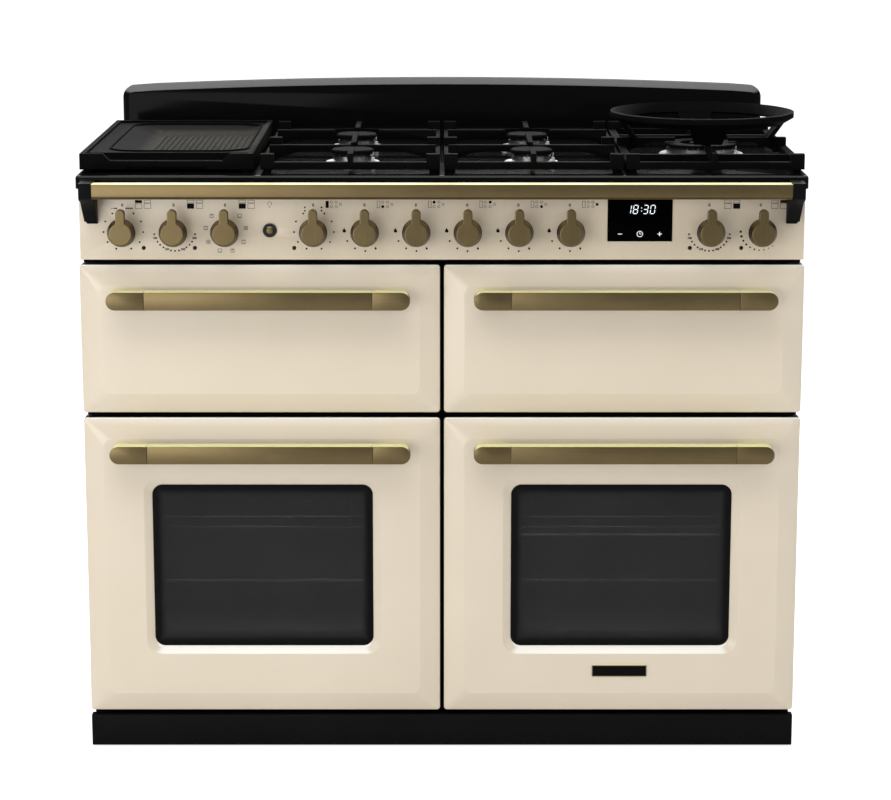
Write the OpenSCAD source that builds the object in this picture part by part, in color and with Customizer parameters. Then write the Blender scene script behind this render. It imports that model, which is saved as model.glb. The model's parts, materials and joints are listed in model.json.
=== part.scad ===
// Range cooker with a double oven: two drop-down oven doors, a glide-out grill, a proving drawer,
// a gas hob with a griddle and a wok cradle, and a row of knobs behind a handrail.
// X runs to the right, Y to the back and Z up. The origin lies on the floor under the middle.

/* [Cabinet] */
// Width across the doors and the control panel
front_w = 1100; // [960:1:1200]
// How far the hob overhangs the doors on each side
hob_side = 0; // [0:0.5:4]
// Depth from the edge of the doors to the back of the upstand
cabinet_d = 584; // [550:1:640]
// Height of the plinth
plinth_h = 52; // [45:1:70]
// Height of an oven door
door_h = 469; // [440:1:500]
// Height of a drawer front
drawer_h = 229; // [200:1:250]
// Height of the control panel
panel_h = 111; // [105:1:125]
// How far the control panel stands in from the sides of the doors
panel_in = 2; // [0:0.5:4]
// Height of the lip round the hob
lip_h = 20; // [14:1:28]
// Gap between one front and the next
reveal = 8; // [6:0.5:10]
// Gap between the left and the right fronts
centre_gap = 6; // [4:0.5:10]
// Thickness of the sheet metal
sheet = 1.2; // [1:0.1:2.5]
// Depth of the board behind the face of the plinth
plinth_d = 16; // [10:1:20]
// Gap between the plinth and the floor
plinth_lift = 2; // [0:0.5:4]

/* [Fronts] */
// Width of the sloping border of a door or drawer front
bevel_w = 31; // [20:1:36]
// How far the field stands in front of the edge of a door
field_out = 12; // [8:1:14]
// Radius of the corners of the field
field_r = 14; // [6:1:20]
// Radius of the outer corners of a front
front_r = 5; // [2:1:8]
// Depth of a front behind its edge
front_d = 26; // [24:1:28]
// Space between a front and the frame behind it
seal_gap = 10; // [8:0.5:12]

/* [Oven window] */
// Width of the window
window_w = 340; // [280:1:380]
// Height of the window
window_h = 258; // [200:1:280]
// Height of the window above the lower edge of the door
window_z = 107; // [95:1:125]
// Radius of the corners of the window
window_r = 16; // [8:1:24]
// Width of the sloping rim round the window
rim_w = 7; // [4:0.5:10]
// Depth of the rim
rim_d = 6.5; // [4:0.5:8]
// Thickness of a pane
glass_t = 4; // [3:0.5:5]
// How far a pane runs behind its rim
glass_lap = 12; // [8:1:16]

/* [Handles] */
// Length of a handle
handle_l = 457; // [380:1:470]
// Height of a handle
handle_h = 27.6; // [20:0.2:32]
// Depth of the bar of a handle
handle_t = 24; // [16:1:28]
// How far the face of a handle stands in front of the edge of the door
handle_reach = 56; // [50:1:64]
// Length of the block at each end of a handle
handle_end = 57; // [45:1:70]
// Distance from the upper edge of a front to the middle of its handle
handle_drop = 47; // [40:0.2:60]
// How far the posts of a handle stand in from its outline
handle_inset = 4.6; // [2:0.2:6]
// Height of the handrail bar
rail_h = 23; // [20:0.5:30]
// Width of the sloping face along the lower edge of the handrail
rail_slope = 4; // [2:0.5:6]
// Depth of the handrail bar
rail_t = 24; // [16:1:28]
// How far the face of the handrail stands in front of the edge of the doors
rail_reach = 75; // [64:1:90]
// Gap between the top of the handrail and the surface of the hob
rail_drop = 7; // [3:0.5:12]
// Width of a handrail bracket
bracket_w = 28; // [24:1:34]
// Height of a handrail bracket
bracket_h = 69; // [60:1:76]

/* [Knobs] */
// Distance from the side of the doors to the first knob
knob_end = 68; // [60:1:76]
// Pitch of the outer knobs
knob_pitch = 77.5; // [70:0.5:82]
// Pitch of the six knobs in the middle
burner_pitch = 77.5; // [70:0.5:82]
// Height of the middle of the knobs above the lower edge of the control panel
knob_z = 44.8; // [40:0.2:56]
// Diameter of the rim of a knob
knob_d = 42; // [34:1:46]
// Diameter of the face of a knob
knob_face_d = 33; // [28:1:38]
// Diameter of the stem between the rim and the panel
knob_stem_d = 31; // [26:1:33]
// How far the face of a knob stands in front of the panel
knob_out = 44; // [40:1:48]
// Depth of the slope from the face of a knob back to its rim
knob_slope = 15; // [12:1:18]
// Width of the lever on a knob
lever_w = 14.2; // [10:0.2:18]
// Reach of the lever from the middle of the knob
lever_l = 37.5; // [32:0.5:42]
// Thickness of the lever
lever_t = 11; // [6:1:14]
// Diameter of the spindle behind a knob
spindle_d = 6; // [5:0.5:8]
// Length of the spindle inside its switch or tap
spindle_grip = 18; // [12:1:24]
// Diameter of the light button
button_d = 12; // [8:1:16]
// Travel of the light button
button_travel = 3; // [2:0.5:4]
// Width of the clock display
display_w = 98; // [80:1:140]
// Height of the clock display
display_h = 64; // [50:1:72]
// Height of the middle of the clock display above the lower edge of the control panel
display_z = 60; // [52:1:66]

/* [Hob] */
// How far the lip of the hob stands in front of the edge of the doors
lip_reach = 27; // [15:1:36]
// Radius of the corners of the hob
hob_r = 14; // [6:1:24]
// Height of the upstand in the middle
upstand_h = 94; // [60:1:120]
// Drop of the arched top of the upstand at its ends
upstand_drop = 13; // [4:1:24]
// Thickness of the upstand
upstand_t = 24; // [14:1:30]
// Radius of the upper corners of the upstand
upstand_r = 20; // [8:1:30]
// Height of the pans above the surface of the hob
pan_h = 29; // [24:1:40]
// Height of the frame bars of a pan support
bar_h = 11; // [8:1:14]
// Width of the frame bars of a pan support
bar_w = 12; // [8:1:16]
// Depth of a pan support from front to back
support_d = 486; // [440:1:500]
// How much narrower a double pan support is than a quarter of the hob
support_play = 5; // [3:0.5:12]
// How much narrower the single pan support is than a quarter of the hob
wok_play = 7; // [4:0.5:12]
// Diameter of a burner cap
cap_d = 66; // [50:1:80]
// Diameter of the cap of the large burner
wok_cap_d = 116; // [96:1:124]
// Outer diameter of the wok cradle
cradle_d = 290; // [260:1:300]
// How much narrower the griddle is than a quarter of the hob
griddle_play = 13; // [10:0.5:24]
// Depth of the griddle
griddle_d = 490; // [440:1:500]
// Thickness of the walls of the griddle
griddle_wall = 8; // [5:1:12]
// Pitch of the ribs on the griddle
rib_pitch = 9; // [6:1:14]

/* [Ovens] */
// Width inside an oven
oven_w = 428; // [380:1:440]
// Height inside an oven
oven_h = 366; // [320:1:380]
// Depth inside an oven
oven_d = 440; // [380:1:450]
// Height of the oven floor above the lower edge of the door
oven_z = 44; // [40:1:56]
// Height inside the grill and the drawer chambers
upper_h = 190; // [160:1:200]
// Height of the floor of these chambers above the lower edge of a drawer front
chamber_z = 18; // [14:0.5:24]
// Width between the walls and the shelves
rack_gap = 9; // [8:0.5:14]
// Diameter of the shelf wires
wire_d = 5; // [4:0.5:7]
// Number of wires across a shelf
shelf_wires = 11; // [7:1:17]
// Height of the lower shelf above the oven floor
shelf_low = 146; // [120:1:160]
// Height of the upper shelf above the oven floor
shelf_high = 220; // [190:1:250]
// Diameter of a fan
fan_d = 140; // [110:1:160]
// Height of the runners above the floor of the chambers
rail_z = 70; // [60:1:80]
// Play of the moving rails in their runners
rail_play = 0.4; // [0.3:0.05:0.6]
// Play of a turning pin in its bore
pin_play = 0.05; // [0.02:0.01:0.09]
// Diameter of a hinge pin
hinge_pin_d = 8; // [6:1:10]
// Height of a door's hinge above the lower edge of the door
hinge_z = 16; // [15:0.5:20]
// Depth of a door's hinge behind the edge of the door
hinge_y = 10; // [8:0.5:11]
// Distance from the middle of a door to each hinge
hinge_x = 200; // [150:1:215]

/* [Hidden] */
$fn = 48;
eps = 0.01;

cream = "#E8D8BB";
brass = "#7D6C47";
gloss_black = "#101011";
satin_black = "#1B1B1C";
cast_black = "#202021";
steel = "#A9ABAD";
enamel_grey = "#3A3C3F";
pane_grey = "#34363A";

// The planes from front to back, measured from the edge of the doors
door_y = rail_reach - (rail_reach + cabinet_d) / 2;
frame_y = front_d + sheet + seal_gap;
cavity_y = frame_y + sheet;
cavity_back = cavity_y + oven_d;
gland_out = 8;
back_y = cabinet_d - gland_out;
upstand_y = cabinet_d - upstand_t;

// The levels from the floor up
frame_drop = 12;
door_z = plinth_h + reveal;
drawer_z = door_z + door_h + reveal;
panel_z = drawer_z + drawer_h + reveal;
lip_z = panel_z + panel_h;
hob_z = lip_z + lip_h;
oven_base = door_z + oven_z;
upper_base = drawer_z + chamber_z;
base_z = door_z;
frame_z = plinth_h - frame_drop;

// The places across the width
hob_w = front_w + 2 * hob_side;
door_w = (front_w - centre_gap) / 2;
door_x = (door_w + centre_gap) / 2;
side_x = front_w / 2 - 2;
rail_l = front_w - 2 * (panel_in + bracket_w);
sides = [-1, 1];

// The places of the knobs, of the light button and of the display
first_knob = front_w / 2 - knob_end;
knob_places = concat([for (i = [0 : 2]) i * knob_pitch - first_knob],
    [for (i = [-2.5 : 2.5]) i * burner_pitch], [for (i = [1, 0]) first_knob - i * knob_pitch]);
gas_knobs = [4, 5, 6, 7, 8];
switch_knobs = [0, 1, 2, 3, 9, 10];
button_x = (knob_places[2] + knob_places[3]) / 2;
display_x = (knob_places[8] + knob_places[9]) / 2;
knob_level = panel_z + knob_z;
display_level = panel_z + display_z;

// The places on the hob
support_gap = 7;
support_foot = 6;
support_y = 0;
quarter = hob_w / 4;
support_w = quarter - support_play;
wok_support_w = quarter - wok_play;
griddle_w = quarter - griddle_play;
support_x = (support_gap + support_w) / 2;
wok_x = hob_w / 2 - 4 - wok_support_w / 2;
griddle_x = -(hob_w / 2 - 3 - griddle_w / 2);
griddle_y = 8;
front_burner_y = 128;
rear_burner_y = 346;
middle_y = (front_burner_y + rear_burner_y) / 2;
rest_gap = 0.2;
plate_t = 8;
pan_z = hob_z + pan_h;
bar_z = hob_z + support_foot;
cap_top = hob_z + 23;
cap_t = 6;
head_t = 11;
base_t = cap_top - cap_t - head_t - hob_z;
small_burners = [for (x = [-support_x, support_x], y = [front_burner_y, rear_burner_y]) [x, y]];
wok_burner = [wok_x, middle_y];

// The runners of the grill and of the drawer
rail_w = 8;
rail_height = 16;
rail_level = upper_base + rail_z;
rail_side = oven_w / 2 - 2 - rail_w - rail_play;
runner_l = oven_d - 30;

// The hinges, the feet and the rollers
hinge_level = door_z + hinge_z;
ear_t = 8;
ear_slot = ear_t + 2;
cheek_t = 3;
foot_x = front_w / 2 - 50;
foot_y = cavity_y + 30;
roller_d = 44;
roller_y = cabinet_d - 64;
axle_d = 8;
roller_t = 16;
bracket_in = 12;
axle_l = 2 * (bracket_in + cheek_t);

// The fan behind each oven
fan_level = oven_base + oven_h / 2;
fan_hub_d = 22;
fan_t = 20;
fan_y = cavity_back - 30;
fan_shaft_d = 8;
cover_w = 240;
cover_y = fan_y - 14;
motor_d = 76;
motor_t = 40;

module place() {
    translate([0, door_y, 0]) children();
}

// A shape drawn in X and Z, made solid between two planes
module slab(y0, y1) {
    translate([0, y1, 0]) rotate([90, 0, 0]) linear_extrude(y1 - y0) children();
}

module rounded(w, h, r) {
    square([w - 2 * r, h], center = true);
    square([w, h - 2 * r], center = true);
    for (x = sides, y = sides) translate([x * (w / 2 - r), y * (h / 2 - r)]) circle(r);
}

module block(x0, x1, y0, y1, z0, z1) {
    translate([x0, y0, z0]) cube([x1 - x0, y1 - y0, z1 - z0]);
}

module rod_x(x0, x1, y, z, d) {
    translate([x0, y, z]) rotate([0, 90, 0]) cylinder(d = d, h = x1 - x0);
}

module rod_y(y0, y1, x, z, d) {
    translate([x, y1, z]) rotate([90, 0, 0]) cylinder(d = d, h = y1 - y0);
}

module rod_z(z0, z1, x, y, d) {
    translate([x, y, z0]) cylinder(d = d, h = z1 - z0);
}

// ---- Cabinet ----

module side_panels() color(satin_black) place() {
    for (s = sides) translate([s * (side_x - sheet / 2), 0, 0])
        block(-sheet / 2, sheet / 2, cavity_y, back_y, base_z, lip_z);
}

vent_l = 70;
vent_h = 5;
vent_pitch = 14;
anchor_x = 200;
anchor_z = 150;
anchor_r = 4.5;
gas_x = side_x - 60;
gas_level = panel_z + 30;
gas_bore_r = 9.3;
gas_bore_l = 15;
gas_inlet_in = 30;
gland_x = side_x - 110;
gland_z = 240;
gland_bore_r = 10;
gland_bore_l = 40;

module back_panel() color(satin_black) place() difference() {
    block(-(side_x - sheet), side_x - sheet, back_y - sheet, back_y, base_z, lip_z);
    for (s = sides, i = [0 : 9], x = [-1, 0, 1])
        translate([s * door_x + x * (vent_l + 20), back_y - sheet / 2, upper_base + 20 + i * vent_pitch])
            cube([vent_l, 3 * sheet, vent_h], center = true);
    for (s = sides) rod_y(back_y - 2 * sheet, back_y + sheet, s * anchor_x, anchor_z, 2 * anchor_r);
    rod_y(back_y - 2 * sheet, back_y + sheet, gas_x, gas_level, 4 * gas_bore_r);
    rod_y(back_y - 2 * sheet, back_y + sheet, gland_x, gland_z, 4 * gland_bore_r);
}

boss_d = 24;
foot_stem_d = 10;
foot_pad_d = 44;
foot_pad_t = 8;

module base_frame() color(steel) place() {
    inner_x = side_x - sheet;
    difference() {
        union() {
            block(-inner_x, inner_x, cavity_y, back_y - sheet, base_z, base_z + sheet);
            for (s = sides) rod_z(base_z - 14, base_z + eps, s * foot_x, foot_y, boss_d);
        }
        for (s = sides)
            rod_z(base_z - 20, base_z + 3 * sheet, s * foot_x, foot_y, foot_stem_d + 2 * pin_play);
    }
    for (s = sides, c = sides) roller_cheek(s * foot_x + c * bracket_in);
}

module roller_cheek(x) {
    difference() {
        union() {
            block(x - cheek_t / 2, x + cheek_t / 2, roller_y - 14, roller_y + 14, roller_d / 2, base_z + eps);
            rod_x(x - cheek_t / 2, x + cheek_t / 2, roller_y, roller_d / 2, 28);
        }
        rod_x(x - cheek_t, x + cheek_t, roller_y, roller_d / 2, axle_d + 2 * pin_play);
    }
}

module rear_rollers() color(satin_black) place() {
    for (s = sides) {
        rod_x(s * foot_x - roller_t / 2, s * foot_x + roller_t / 2, roller_y, roller_d / 2, roller_d);
        rod_x(s * foot_x - axle_l / 2, s * foot_x + axle_l / 2, roller_y, roller_d / 2, axle_d);
    }
}

module levelling_feet() color(steel) place() {
    for (s = sides) {
        rod_z(0, foot_pad_t, s * foot_x, foot_y, foot_pad_d);
        rod_z(foot_pad_t - eps, base_z + 8, s * foot_x, foot_y, foot_stem_d);
    }
}

module plinth() color(satin_black) place() {
    block(-front_w / 2, front_w / 2, 0, plinth_d, plinth_lift, plinth_h);
    for (s = sides) block(s * door_x - 15, s * door_x + 15, plinth_d - eps, frame_y, frame_z, plinth_h);
}

module oven_mouth(grow = 0) {
    translate([0, oven_base + oven_h / 2]) rounded(oven_w + grow, oven_h + grow, 12);
}

module front_frame() color(satin_black) place() {
    slab(frame_y, cavity_y) difference() {
        translate([-side_x, frame_z]) square([2 * side_x, lip_z - frame_z]);
        for (s = sides) translate([s * door_x, 0]) {
            oven_mouth();
            translate([-oven_w / 2, upper_base]) square([oven_w, upper_h]);
        }
        translate([-side_x + 24, panel_z + 10]) square([2 * side_x - 48, panel_h - 20]);
    }
    for (s = sides, c = sides) translate([s * door_x + c * hinge_x, 0, 0]) hinge_ear();
}

// The ear on the frame that carries the hinge pin of a door
module hinge_ear() {
    difference() {
        union() {
            block(-ear_t / 2, ear_t / 2, hinge_y, frame_y + eps, hinge_level - 7, hinge_level + 7);
            rod_x(-ear_t / 2, ear_t / 2, hinge_y, hinge_level, 14);
        }
        rod_x(-ear_t, ear_t, hinge_y, hinge_level, hinge_pin_d + 2 * pin_play);
    }
}

module oven_cavities() color(enamel_grey) place() {
    for (s = sides) translate([s * door_x, 0, 0]) difference() {
        block(-oven_w / 2 - sheet, oven_w / 2 + sheet, cavity_y, cavity_back + sheet,
            oven_base - sheet, oven_base + oven_h + sheet);
        block(-oven_w / 2, oven_w / 2, cavity_y - eps, cavity_back, oven_base, oven_base + oven_h);
        rod_y(cavity_back - sheet, cavity_back + 2 * sheet, 0, fan_level, fan_shaft_d + 4);
    }
}

module upper_chambers() color(enamel_grey) place() {
    for (s = sides) translate([s * door_x, 0, 0]) difference() {
        block(-oven_w / 2 - sheet, oven_w / 2 + sheet, cavity_y, cavity_back + sheet,
            upper_base - sheet, upper_base + upper_h + sheet);
        block(-oven_w / 2, oven_w / 2, cavity_y - eps, cavity_back, upper_base, upper_base + upper_h);
    }
}

// ---- Control panel ----

spindle_hole_d = spindle_d + 4;
button_hole_d = button_d + 6;

module control_panel() color(cream) place() difference() {
    x = front_w / 2 - panel_in;
    block(-x, x, 0, frame_y, panel_z, lip_z);
    block(-x + sheet, x - sheet, sheet, frame_y + eps, panel_z + sheet, lip_z - sheet);
    for (x = knob_places) rod_y(-eps, 2 * sheet, x, knob_level, spindle_hole_d);
    rod_y(-eps, 2 * sheet, button_x, knob_level, button_hole_d);
    block(display_x - display_w / 2 + 6, display_x + display_w / 2 - 6, -eps, 2 * sheet,
        display_level - display_h / 2 + 6, display_level + display_h / 2 - 6);
}

module clock_display() color(gloss_black) place() {
    block(display_x - display_w / 2, display_x + display_w / 2, -1.6, 0,
        display_level - display_h / 2, display_level + display_h / 2);
    block(display_x - display_w / 2 + 7, display_x + display_w / 2 - 7, -eps, 24,
        display_level - display_h / 2 + 7, display_level + display_h / 2 - 7);
}

switch_y = sheet + 0.2;

button_seat = 2.4;
button_in = 12;

switch_d = 34;
bezel_w = 4.5;

// A rotary switch behind each oven knob, and the housing of the light button
module switch_bodies() color(satin_black) place() {
    for (i = switch_knobs) difference() {
        rod_y(switch_y, frame_y - 4, knob_places[i], knob_level, switch_d);
        rod_y(0, switch_y + spindle_grip + 2, knob_places[i], knob_level, spindle_d + 2 * pin_play);
    }
    difference() {
        union() {
            rod_y(-button_seat, 0, button_x, knob_level, button_d + 2 * bezel_w);
            rod_y(-eps, frame_y - 4, button_x, knob_level, button_hole_d - 0.4);
        }
        rod_y(-button_seat - 1, button_in + button_travel + 5, button_x, knob_level, button_d + 0.5);
    }
}

module light_button() color(brass) place() {
    rod_y(-button_seat - button_travel - rest_gap, button_in, button_x, knob_level, button_d);
}

// The gas rail with one tap behind each burner knob, and the pipe to the inlet at the back
gas_rail_y = 60;
gas_pipe_d = 16;
tap_w = 30;

module gas_rail() color(steel) place() {
    last = knob_places[gas_knobs[len(gas_knobs) - 1]];
    for (i = gas_knobs) difference() {
        block(knob_places[i] - tap_w / 2, knob_places[i] + tap_w / 2, switch_y, gas_rail_y,
            knob_level - 14, knob_level + 14);
        rod_y(0, switch_y + spindle_grip + 2, knob_places[i], knob_level, spindle_d + 2 * pin_play);
    }
    rod_x(knob_places[gas_knobs[0]] - tap_w / 2, last + tap_w, gas_rail_y, knob_level, gas_pipe_d);
    rod_z(gas_level - gas_pipe_d / 2, knob_level + gas_pipe_d / 2, last + tap_w, gas_rail_y, gas_pipe_d);
    rod_x(last + tap_w, gas_x, gas_rail_y, gas_level, gas_pipe_d);
    rod_y(gas_rail_y - gas_pipe_d / 2, back_y - gas_inlet_in - rest_gap, gas_x, gas_level, gas_pipe_d);
    difference() {
        rod_y(back_y - gas_inlet_in, cabinet_d, gas_x, gas_level, 3 * gas_bore_r);
        rod_y(cabinet_d - gas_bore_l, cabinet_d + eps, gas_x, gas_level, 2 * gas_bore_r);
    }
}

terminal_w = 90;
terminal_d = 40;
terminal_low = 35;
terminal_up = 60;

module terminal_box() color(satin_black) place() {
    difference() {
        union() {
            block(gland_x - terminal_w / 2, gland_x + terminal_w / 2, back_y - sheet - terminal_d,
                back_y - sheet, gland_z - terminal_low, gland_z + terminal_up);
            rod_y(back_y - 3 * sheet, cabinet_d, gland_x, gland_z, 3 * gland_bore_r);
        }
        rod_y(cabinet_d - gland_bore_l, cabinet_d + eps, gland_x, gland_z, 2 * gland_bore_r);
    }
}

// A shape drawn in Y and Z, made solid between two places along X
module bar_x(x0, x1) {
    translate([x0, 0, 0]) rotate([90, 0, 90]) linear_extrude(x1 - x0) children();
}

rail_top_z = hob_z - rail_drop;

module handrail_bar() color(brass) place() {
    low = rail_top_z - rail_h;
    bar_x(-rail_l / 2, rail_l / 2) polygon([[-rail_reach, rail_top_z], [rail_t - rail_reach, rail_top_z],
        [rail_t - rail_reach, low], [rail_slope - rail_reach, low], [-rail_reach, low + rail_slope]]);
}

// Each bracket has an arm that carries one end of the handrail, and a plate on the control panel
module handrail_brackets() color(satin_black) place() {
    top = rail_top_z + 1;
    low = top - bracket_h;
    arm_low = rail_top_z - rail_h - 1;
    arm_w = bracket_w - 9;
    for (s = sides) {
        x0 = s > 0 ? rail_l / 2 : -rail_l / 2 - arm_w;
        bar_x(x0, x0 + arm_w) polygon([
            [-rail_reach, top], [-rail_reach, arm_low + 3], [3 - rail_reach, arm_low],
            [-48, arm_low - 7], [-28, arm_low - 22], [-14, low + 4], [eps - plate_t, low + 4],
            [eps - plate_t, lip_z - rest_gap], [-lip_reach - rest_gap, lip_z - rest_gap],
            [-lip_reach - rest_gap, top]]);
        translate([s * rail_l / 2, 0, 0]) slab(-plate_t, 0) polygon([[0, lip_z - rest_gap],
            [s * (bracket_w - 1), lip_z - rest_gap], [s * (bracket_w - 2), low + 36],
            [s * (bracket_w - 8), low + 6], [s * (bracket_w - 13), low], [0, low]]);
    }
}

// ---- Hob ----

module hob_outline(inset) {
    translate([0, (cabinet_d - lip_reach) / 2])
        rounded(hob_w - 2 * inset, cabinet_d + lip_reach - 2 * inset, hob_r - inset);
}

module hob_tray() color(gloss_black) place() difference() {
    translate([0, 0, lip_z]) linear_extrude(lip_h) hob_outline(0);
    translate([0, 0, lip_z - eps]) linear_extrude(lip_h - sheet) hob_outline(sheet);
    for (b = small_burners) rod_z(hob_z - 2 * sheet, hob_z + eps, b[0], b[1], small_hole_d);
    rod_z(hob_z - 2 * sheet, hob_z + eps, wok_burner[0], wok_burner[1], wok_hole_d);
}

upstand_w = hob_w - 12;
arch_r = pow(upstand_w / 2, 2) / (2 * upstand_drop) + upstand_drop / 2;

module upstand_shape(inset) {
    side_h = upstand_h - upstand_drop - upstand_r;
    corner_x = upstand_w / 2 - upstand_r;
    intersection() {
        union() {
            translate([inset - upstand_w / 2, hob_z - inset]) square([upstand_w - 2 * inset, side_h + inset]);
            translate([-corner_x, hob_z - inset]) square([2 * corner_x, upstand_h]);
            for (s = sides) translate([s * corner_x, hob_z + side_h]) circle(upstand_r - inset);
        }
        translate([0, hob_z + upstand_h - arch_r]) circle(arch_r - inset, $fn = 360);
    }
}

// A pressed box that is open below, where it stands on the hob
module rear_upstand() color(gloss_black) place() difference() {
    slab(upstand_y, cabinet_d) upstand_shape(0);
    slab(upstand_y + sheet, cabinet_d - sheet) upstand_shape(sheet);
}

// A disc with a chamfered upper edge
module cap_disc(z0, d, h, inner_d = 0) {
    c = h / 3;
    rotate_extrude() polygon([[inner_d / 2, z0], [d / 2, z0], [d / 2, z0 + h - c],
        [d / 2 - c, z0 + h], [inner_d / 2 + (inner_d > 0 ? c : 0), z0 + h], [inner_d / 2, z0 + h - c]]);
}

cup_depth = 22;
cup_play = 1;
flange_lap = 9;
small_hole_d = cap_d - 16;
wok_hole_d = wok_cap_d - 40;

// The cup of each burner, which passes through the hob, and its flange
module burner_bases() color(steel) place() {
    for (b = small_burners) translate([b[0], b[1], 0]) {
        rod_z(hob_z - cup_depth, hob_z + base_t, 0, 0, small_hole_d - 2 * cup_play);
        cap_disc(hob_z, cap_d + 2 * flange_lap, base_t - 2);
    }
    translate([wok_burner[0], wok_burner[1], 0]) {
        rod_z(hob_z - cup_depth, hob_z + base_t, 0, 0, wok_hole_d - 2 * cup_play);
        cap_disc(hob_z, wok_cap_d + 2 * flange_lap, base_t - 2);
    }
}

port_w = 1.6;
port_h = 6;

module burner_ring(d, inner_d, ports) {
    difference() {
        cap_disc(hob_z + base_t, d, head_t, inner_d);
        for (i = [0 : ports - 1]) rotate([0, 0, i * 360 / ports])
            translate([d / 2 - 4, -port_w / 2, hob_z + base_t + head_t - port_h])
                cube([8, port_w, port_h + 1]);
    }
}

wok_inner_d = wok_cap_d * 0.62;

module burner_heads() color(steel) place() {
    for (b = small_burners) translate([b[0], b[1], 0]) burner_ring(cap_d - 6, 0, 24);
    translate([wok_burner[0], wok_burner[1], 0]) {
        burner_ring(wok_cap_d - 6, wok_inner_d, 36);
        burner_ring(wok_cap_d * 0.3, 0, 12);
        for (a = [45, 135]) rotate([0, 0, a])
            translate([-wok_inner_d / 2 - 1, -4, hob_z + base_t]) cube([wok_inner_d + 2, 8, 4]);
    }
}

module burner_caps() color(cast_black) place() {
    z0 = cap_top - cap_t;
    for (b = small_burners) translate([b[0], b[1], 0]) cap_disc(z0, cap_d, cap_t);
    translate([wok_burner[0], wok_burner[1], 0]) {
        cap_disc(z0, wok_cap_d, cap_t - 2, wok_inner_d - 4);
        cap_disc(z0, wok_cap_d * 0.33, cap_t - 2);
    }
}

finger_w = 8;
finger_tip_t = 6;
pad_w = 20;
pad_d = 16;

// A finger that starts at the frame and points at a burner
module finger(x, y, angle, reach) {
    slope = max(reach - 34, reach / 2);
    translate([x, y, 0]) rotate([0, 0, angle]) rotate([90, 0, 0]) translate([0, 0, -finger_w / 2])
        linear_extrude(finger_w) polygon([[-bar_w / 2, bar_z], [0, bar_z], [slope, pan_z - finger_tip_t],
            [reach, pan_z - finger_tip_t], [reach, pan_z], [-bar_w / 2, pan_z]]);
}

// The frame of a pan support: bars all round and across at the given places, feet and raised pads
module support_frame(w, cross_bars) {
    x = w / 2;
    for (s = sides) block(s * (x - bar_w / 2) - bar_w / 2, s * (x - bar_w / 2) + bar_w / 2,
        support_y, support_y + support_d, bar_z, bar_z + bar_h);
    for (y = concat([support_y, support_y + support_d - bar_w], cross_bars))
        block(-x, x, y, y + bar_w, bar_z, bar_z + bar_h);
    for (s = sides, y = [support_y + 10, support_y + support_d - 10])
        rod_z(hob_z + rest_gap, bar_z + eps, s * (x - 10), y, 12);
    for (s = sides, y = [support_y, middle_y - pad_d / 2, support_y + support_d - pad_d])
        block(s * (x - pad_w / 2) - pad_w / 2, s * (x - pad_w / 2) + pad_w / 2, y, y + pad_d, bar_z, pan_z);
}

module double_support(x) {
    side_reach = support_w / 2 - bar_w - cap_d / 2 - 3;
    gap = bar_w + cap_d / 2 + 3;
    translate([x, 0, 0]) {
        support_frame(support_w, [middle_y - bar_w / 2]);
        for (s = sides, y = [front_burner_y, rear_burner_y])
            finger(s * (support_w / 2 - bar_w), y, s > 0 ? 180 : 0, side_reach);
        finger(0, support_y + bar_w, 90, front_burner_y - support_y - gap);
        finger(0, middle_y - bar_w / 2, -90, middle_y - front_burner_y - gap + bar_w / 2);
        finger(0, middle_y + bar_w / 2, 90, rear_burner_y - middle_y - gap + bar_w / 2);
        finger(0, support_y + support_d - bar_w, -90, support_y + support_d - rear_burner_y - gap);
        block(-finger_w / 2, finger_w / 2, middle_y - bar_w, middle_y + bar_w, bar_z, pan_z);
    }
}

module pan_support_left() color(cast_black) place() double_support(-support_x);

module pan_support_centre() color(cast_black) place() double_support(support_x);

wok_tip = 42;
wok_bar_y = 100;

module pan_support_right() color(cast_black) place() translate([wok_x, 0, 0]) {
    support_frame(wok_support_w, [wok_bar_y, support_d - wok_bar_y - bar_w]);
    for (s = sides) finger(s * (wok_support_w / 2 - bar_w), middle_y, s > 0 ? 180 : 0,
        wok_support_w / 2 - bar_w - wok_tip);
    finger(0, support_y + bar_w, 90, middle_y - support_y - bar_w - wok_tip);
    finger(0, support_y + support_d - bar_w, -90, support_y + support_d - bar_w - middle_y - wok_tip);
}

cradle_rim_z = pan_z + 42;
cradle_band_z = cradle_rim_z - 17;
cradle_r = cradle_d / 2;
foot_r = 104;

// The cradle that holds a round-bottomed wok over the large burner: a sloping band on four wide legs
module wok_cradle() color(cast_black) place() translate([wok_x, middle_y, 0]) {
    rotate_extrude() polygon([[cradle_r - 19, cradle_band_z + 3], [cradle_r - 15, cradle_band_z],
        [cradle_r, cradle_rim_z - 8], [cradle_r, cradle_rim_z], [cradle_r - 5, cradle_rim_z + 1]]);
    for (a = [0 : 90 : 270]) rotate([0, 0, a]) intersection() {
        rotate_extrude() polygon([[foot_r, pan_z + rest_gap], [foot_r + 9, pan_z + rest_gap],
            [cradle_r - 14, cradle_band_z + 1], [cradle_r - 18, cradle_band_z + 4]]);
        translate([0, 0, pan_z]) linear_extrude(cradle_rim_z - pan_z)
            polygon([[foot_r - 8, -15], [cradle_r, -38], [cradle_r, 38], [foot_r - 8, 15]]);
    }
}

griddle_low = pan_z - 11;
griddle_floor = hob_z + 10;

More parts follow.
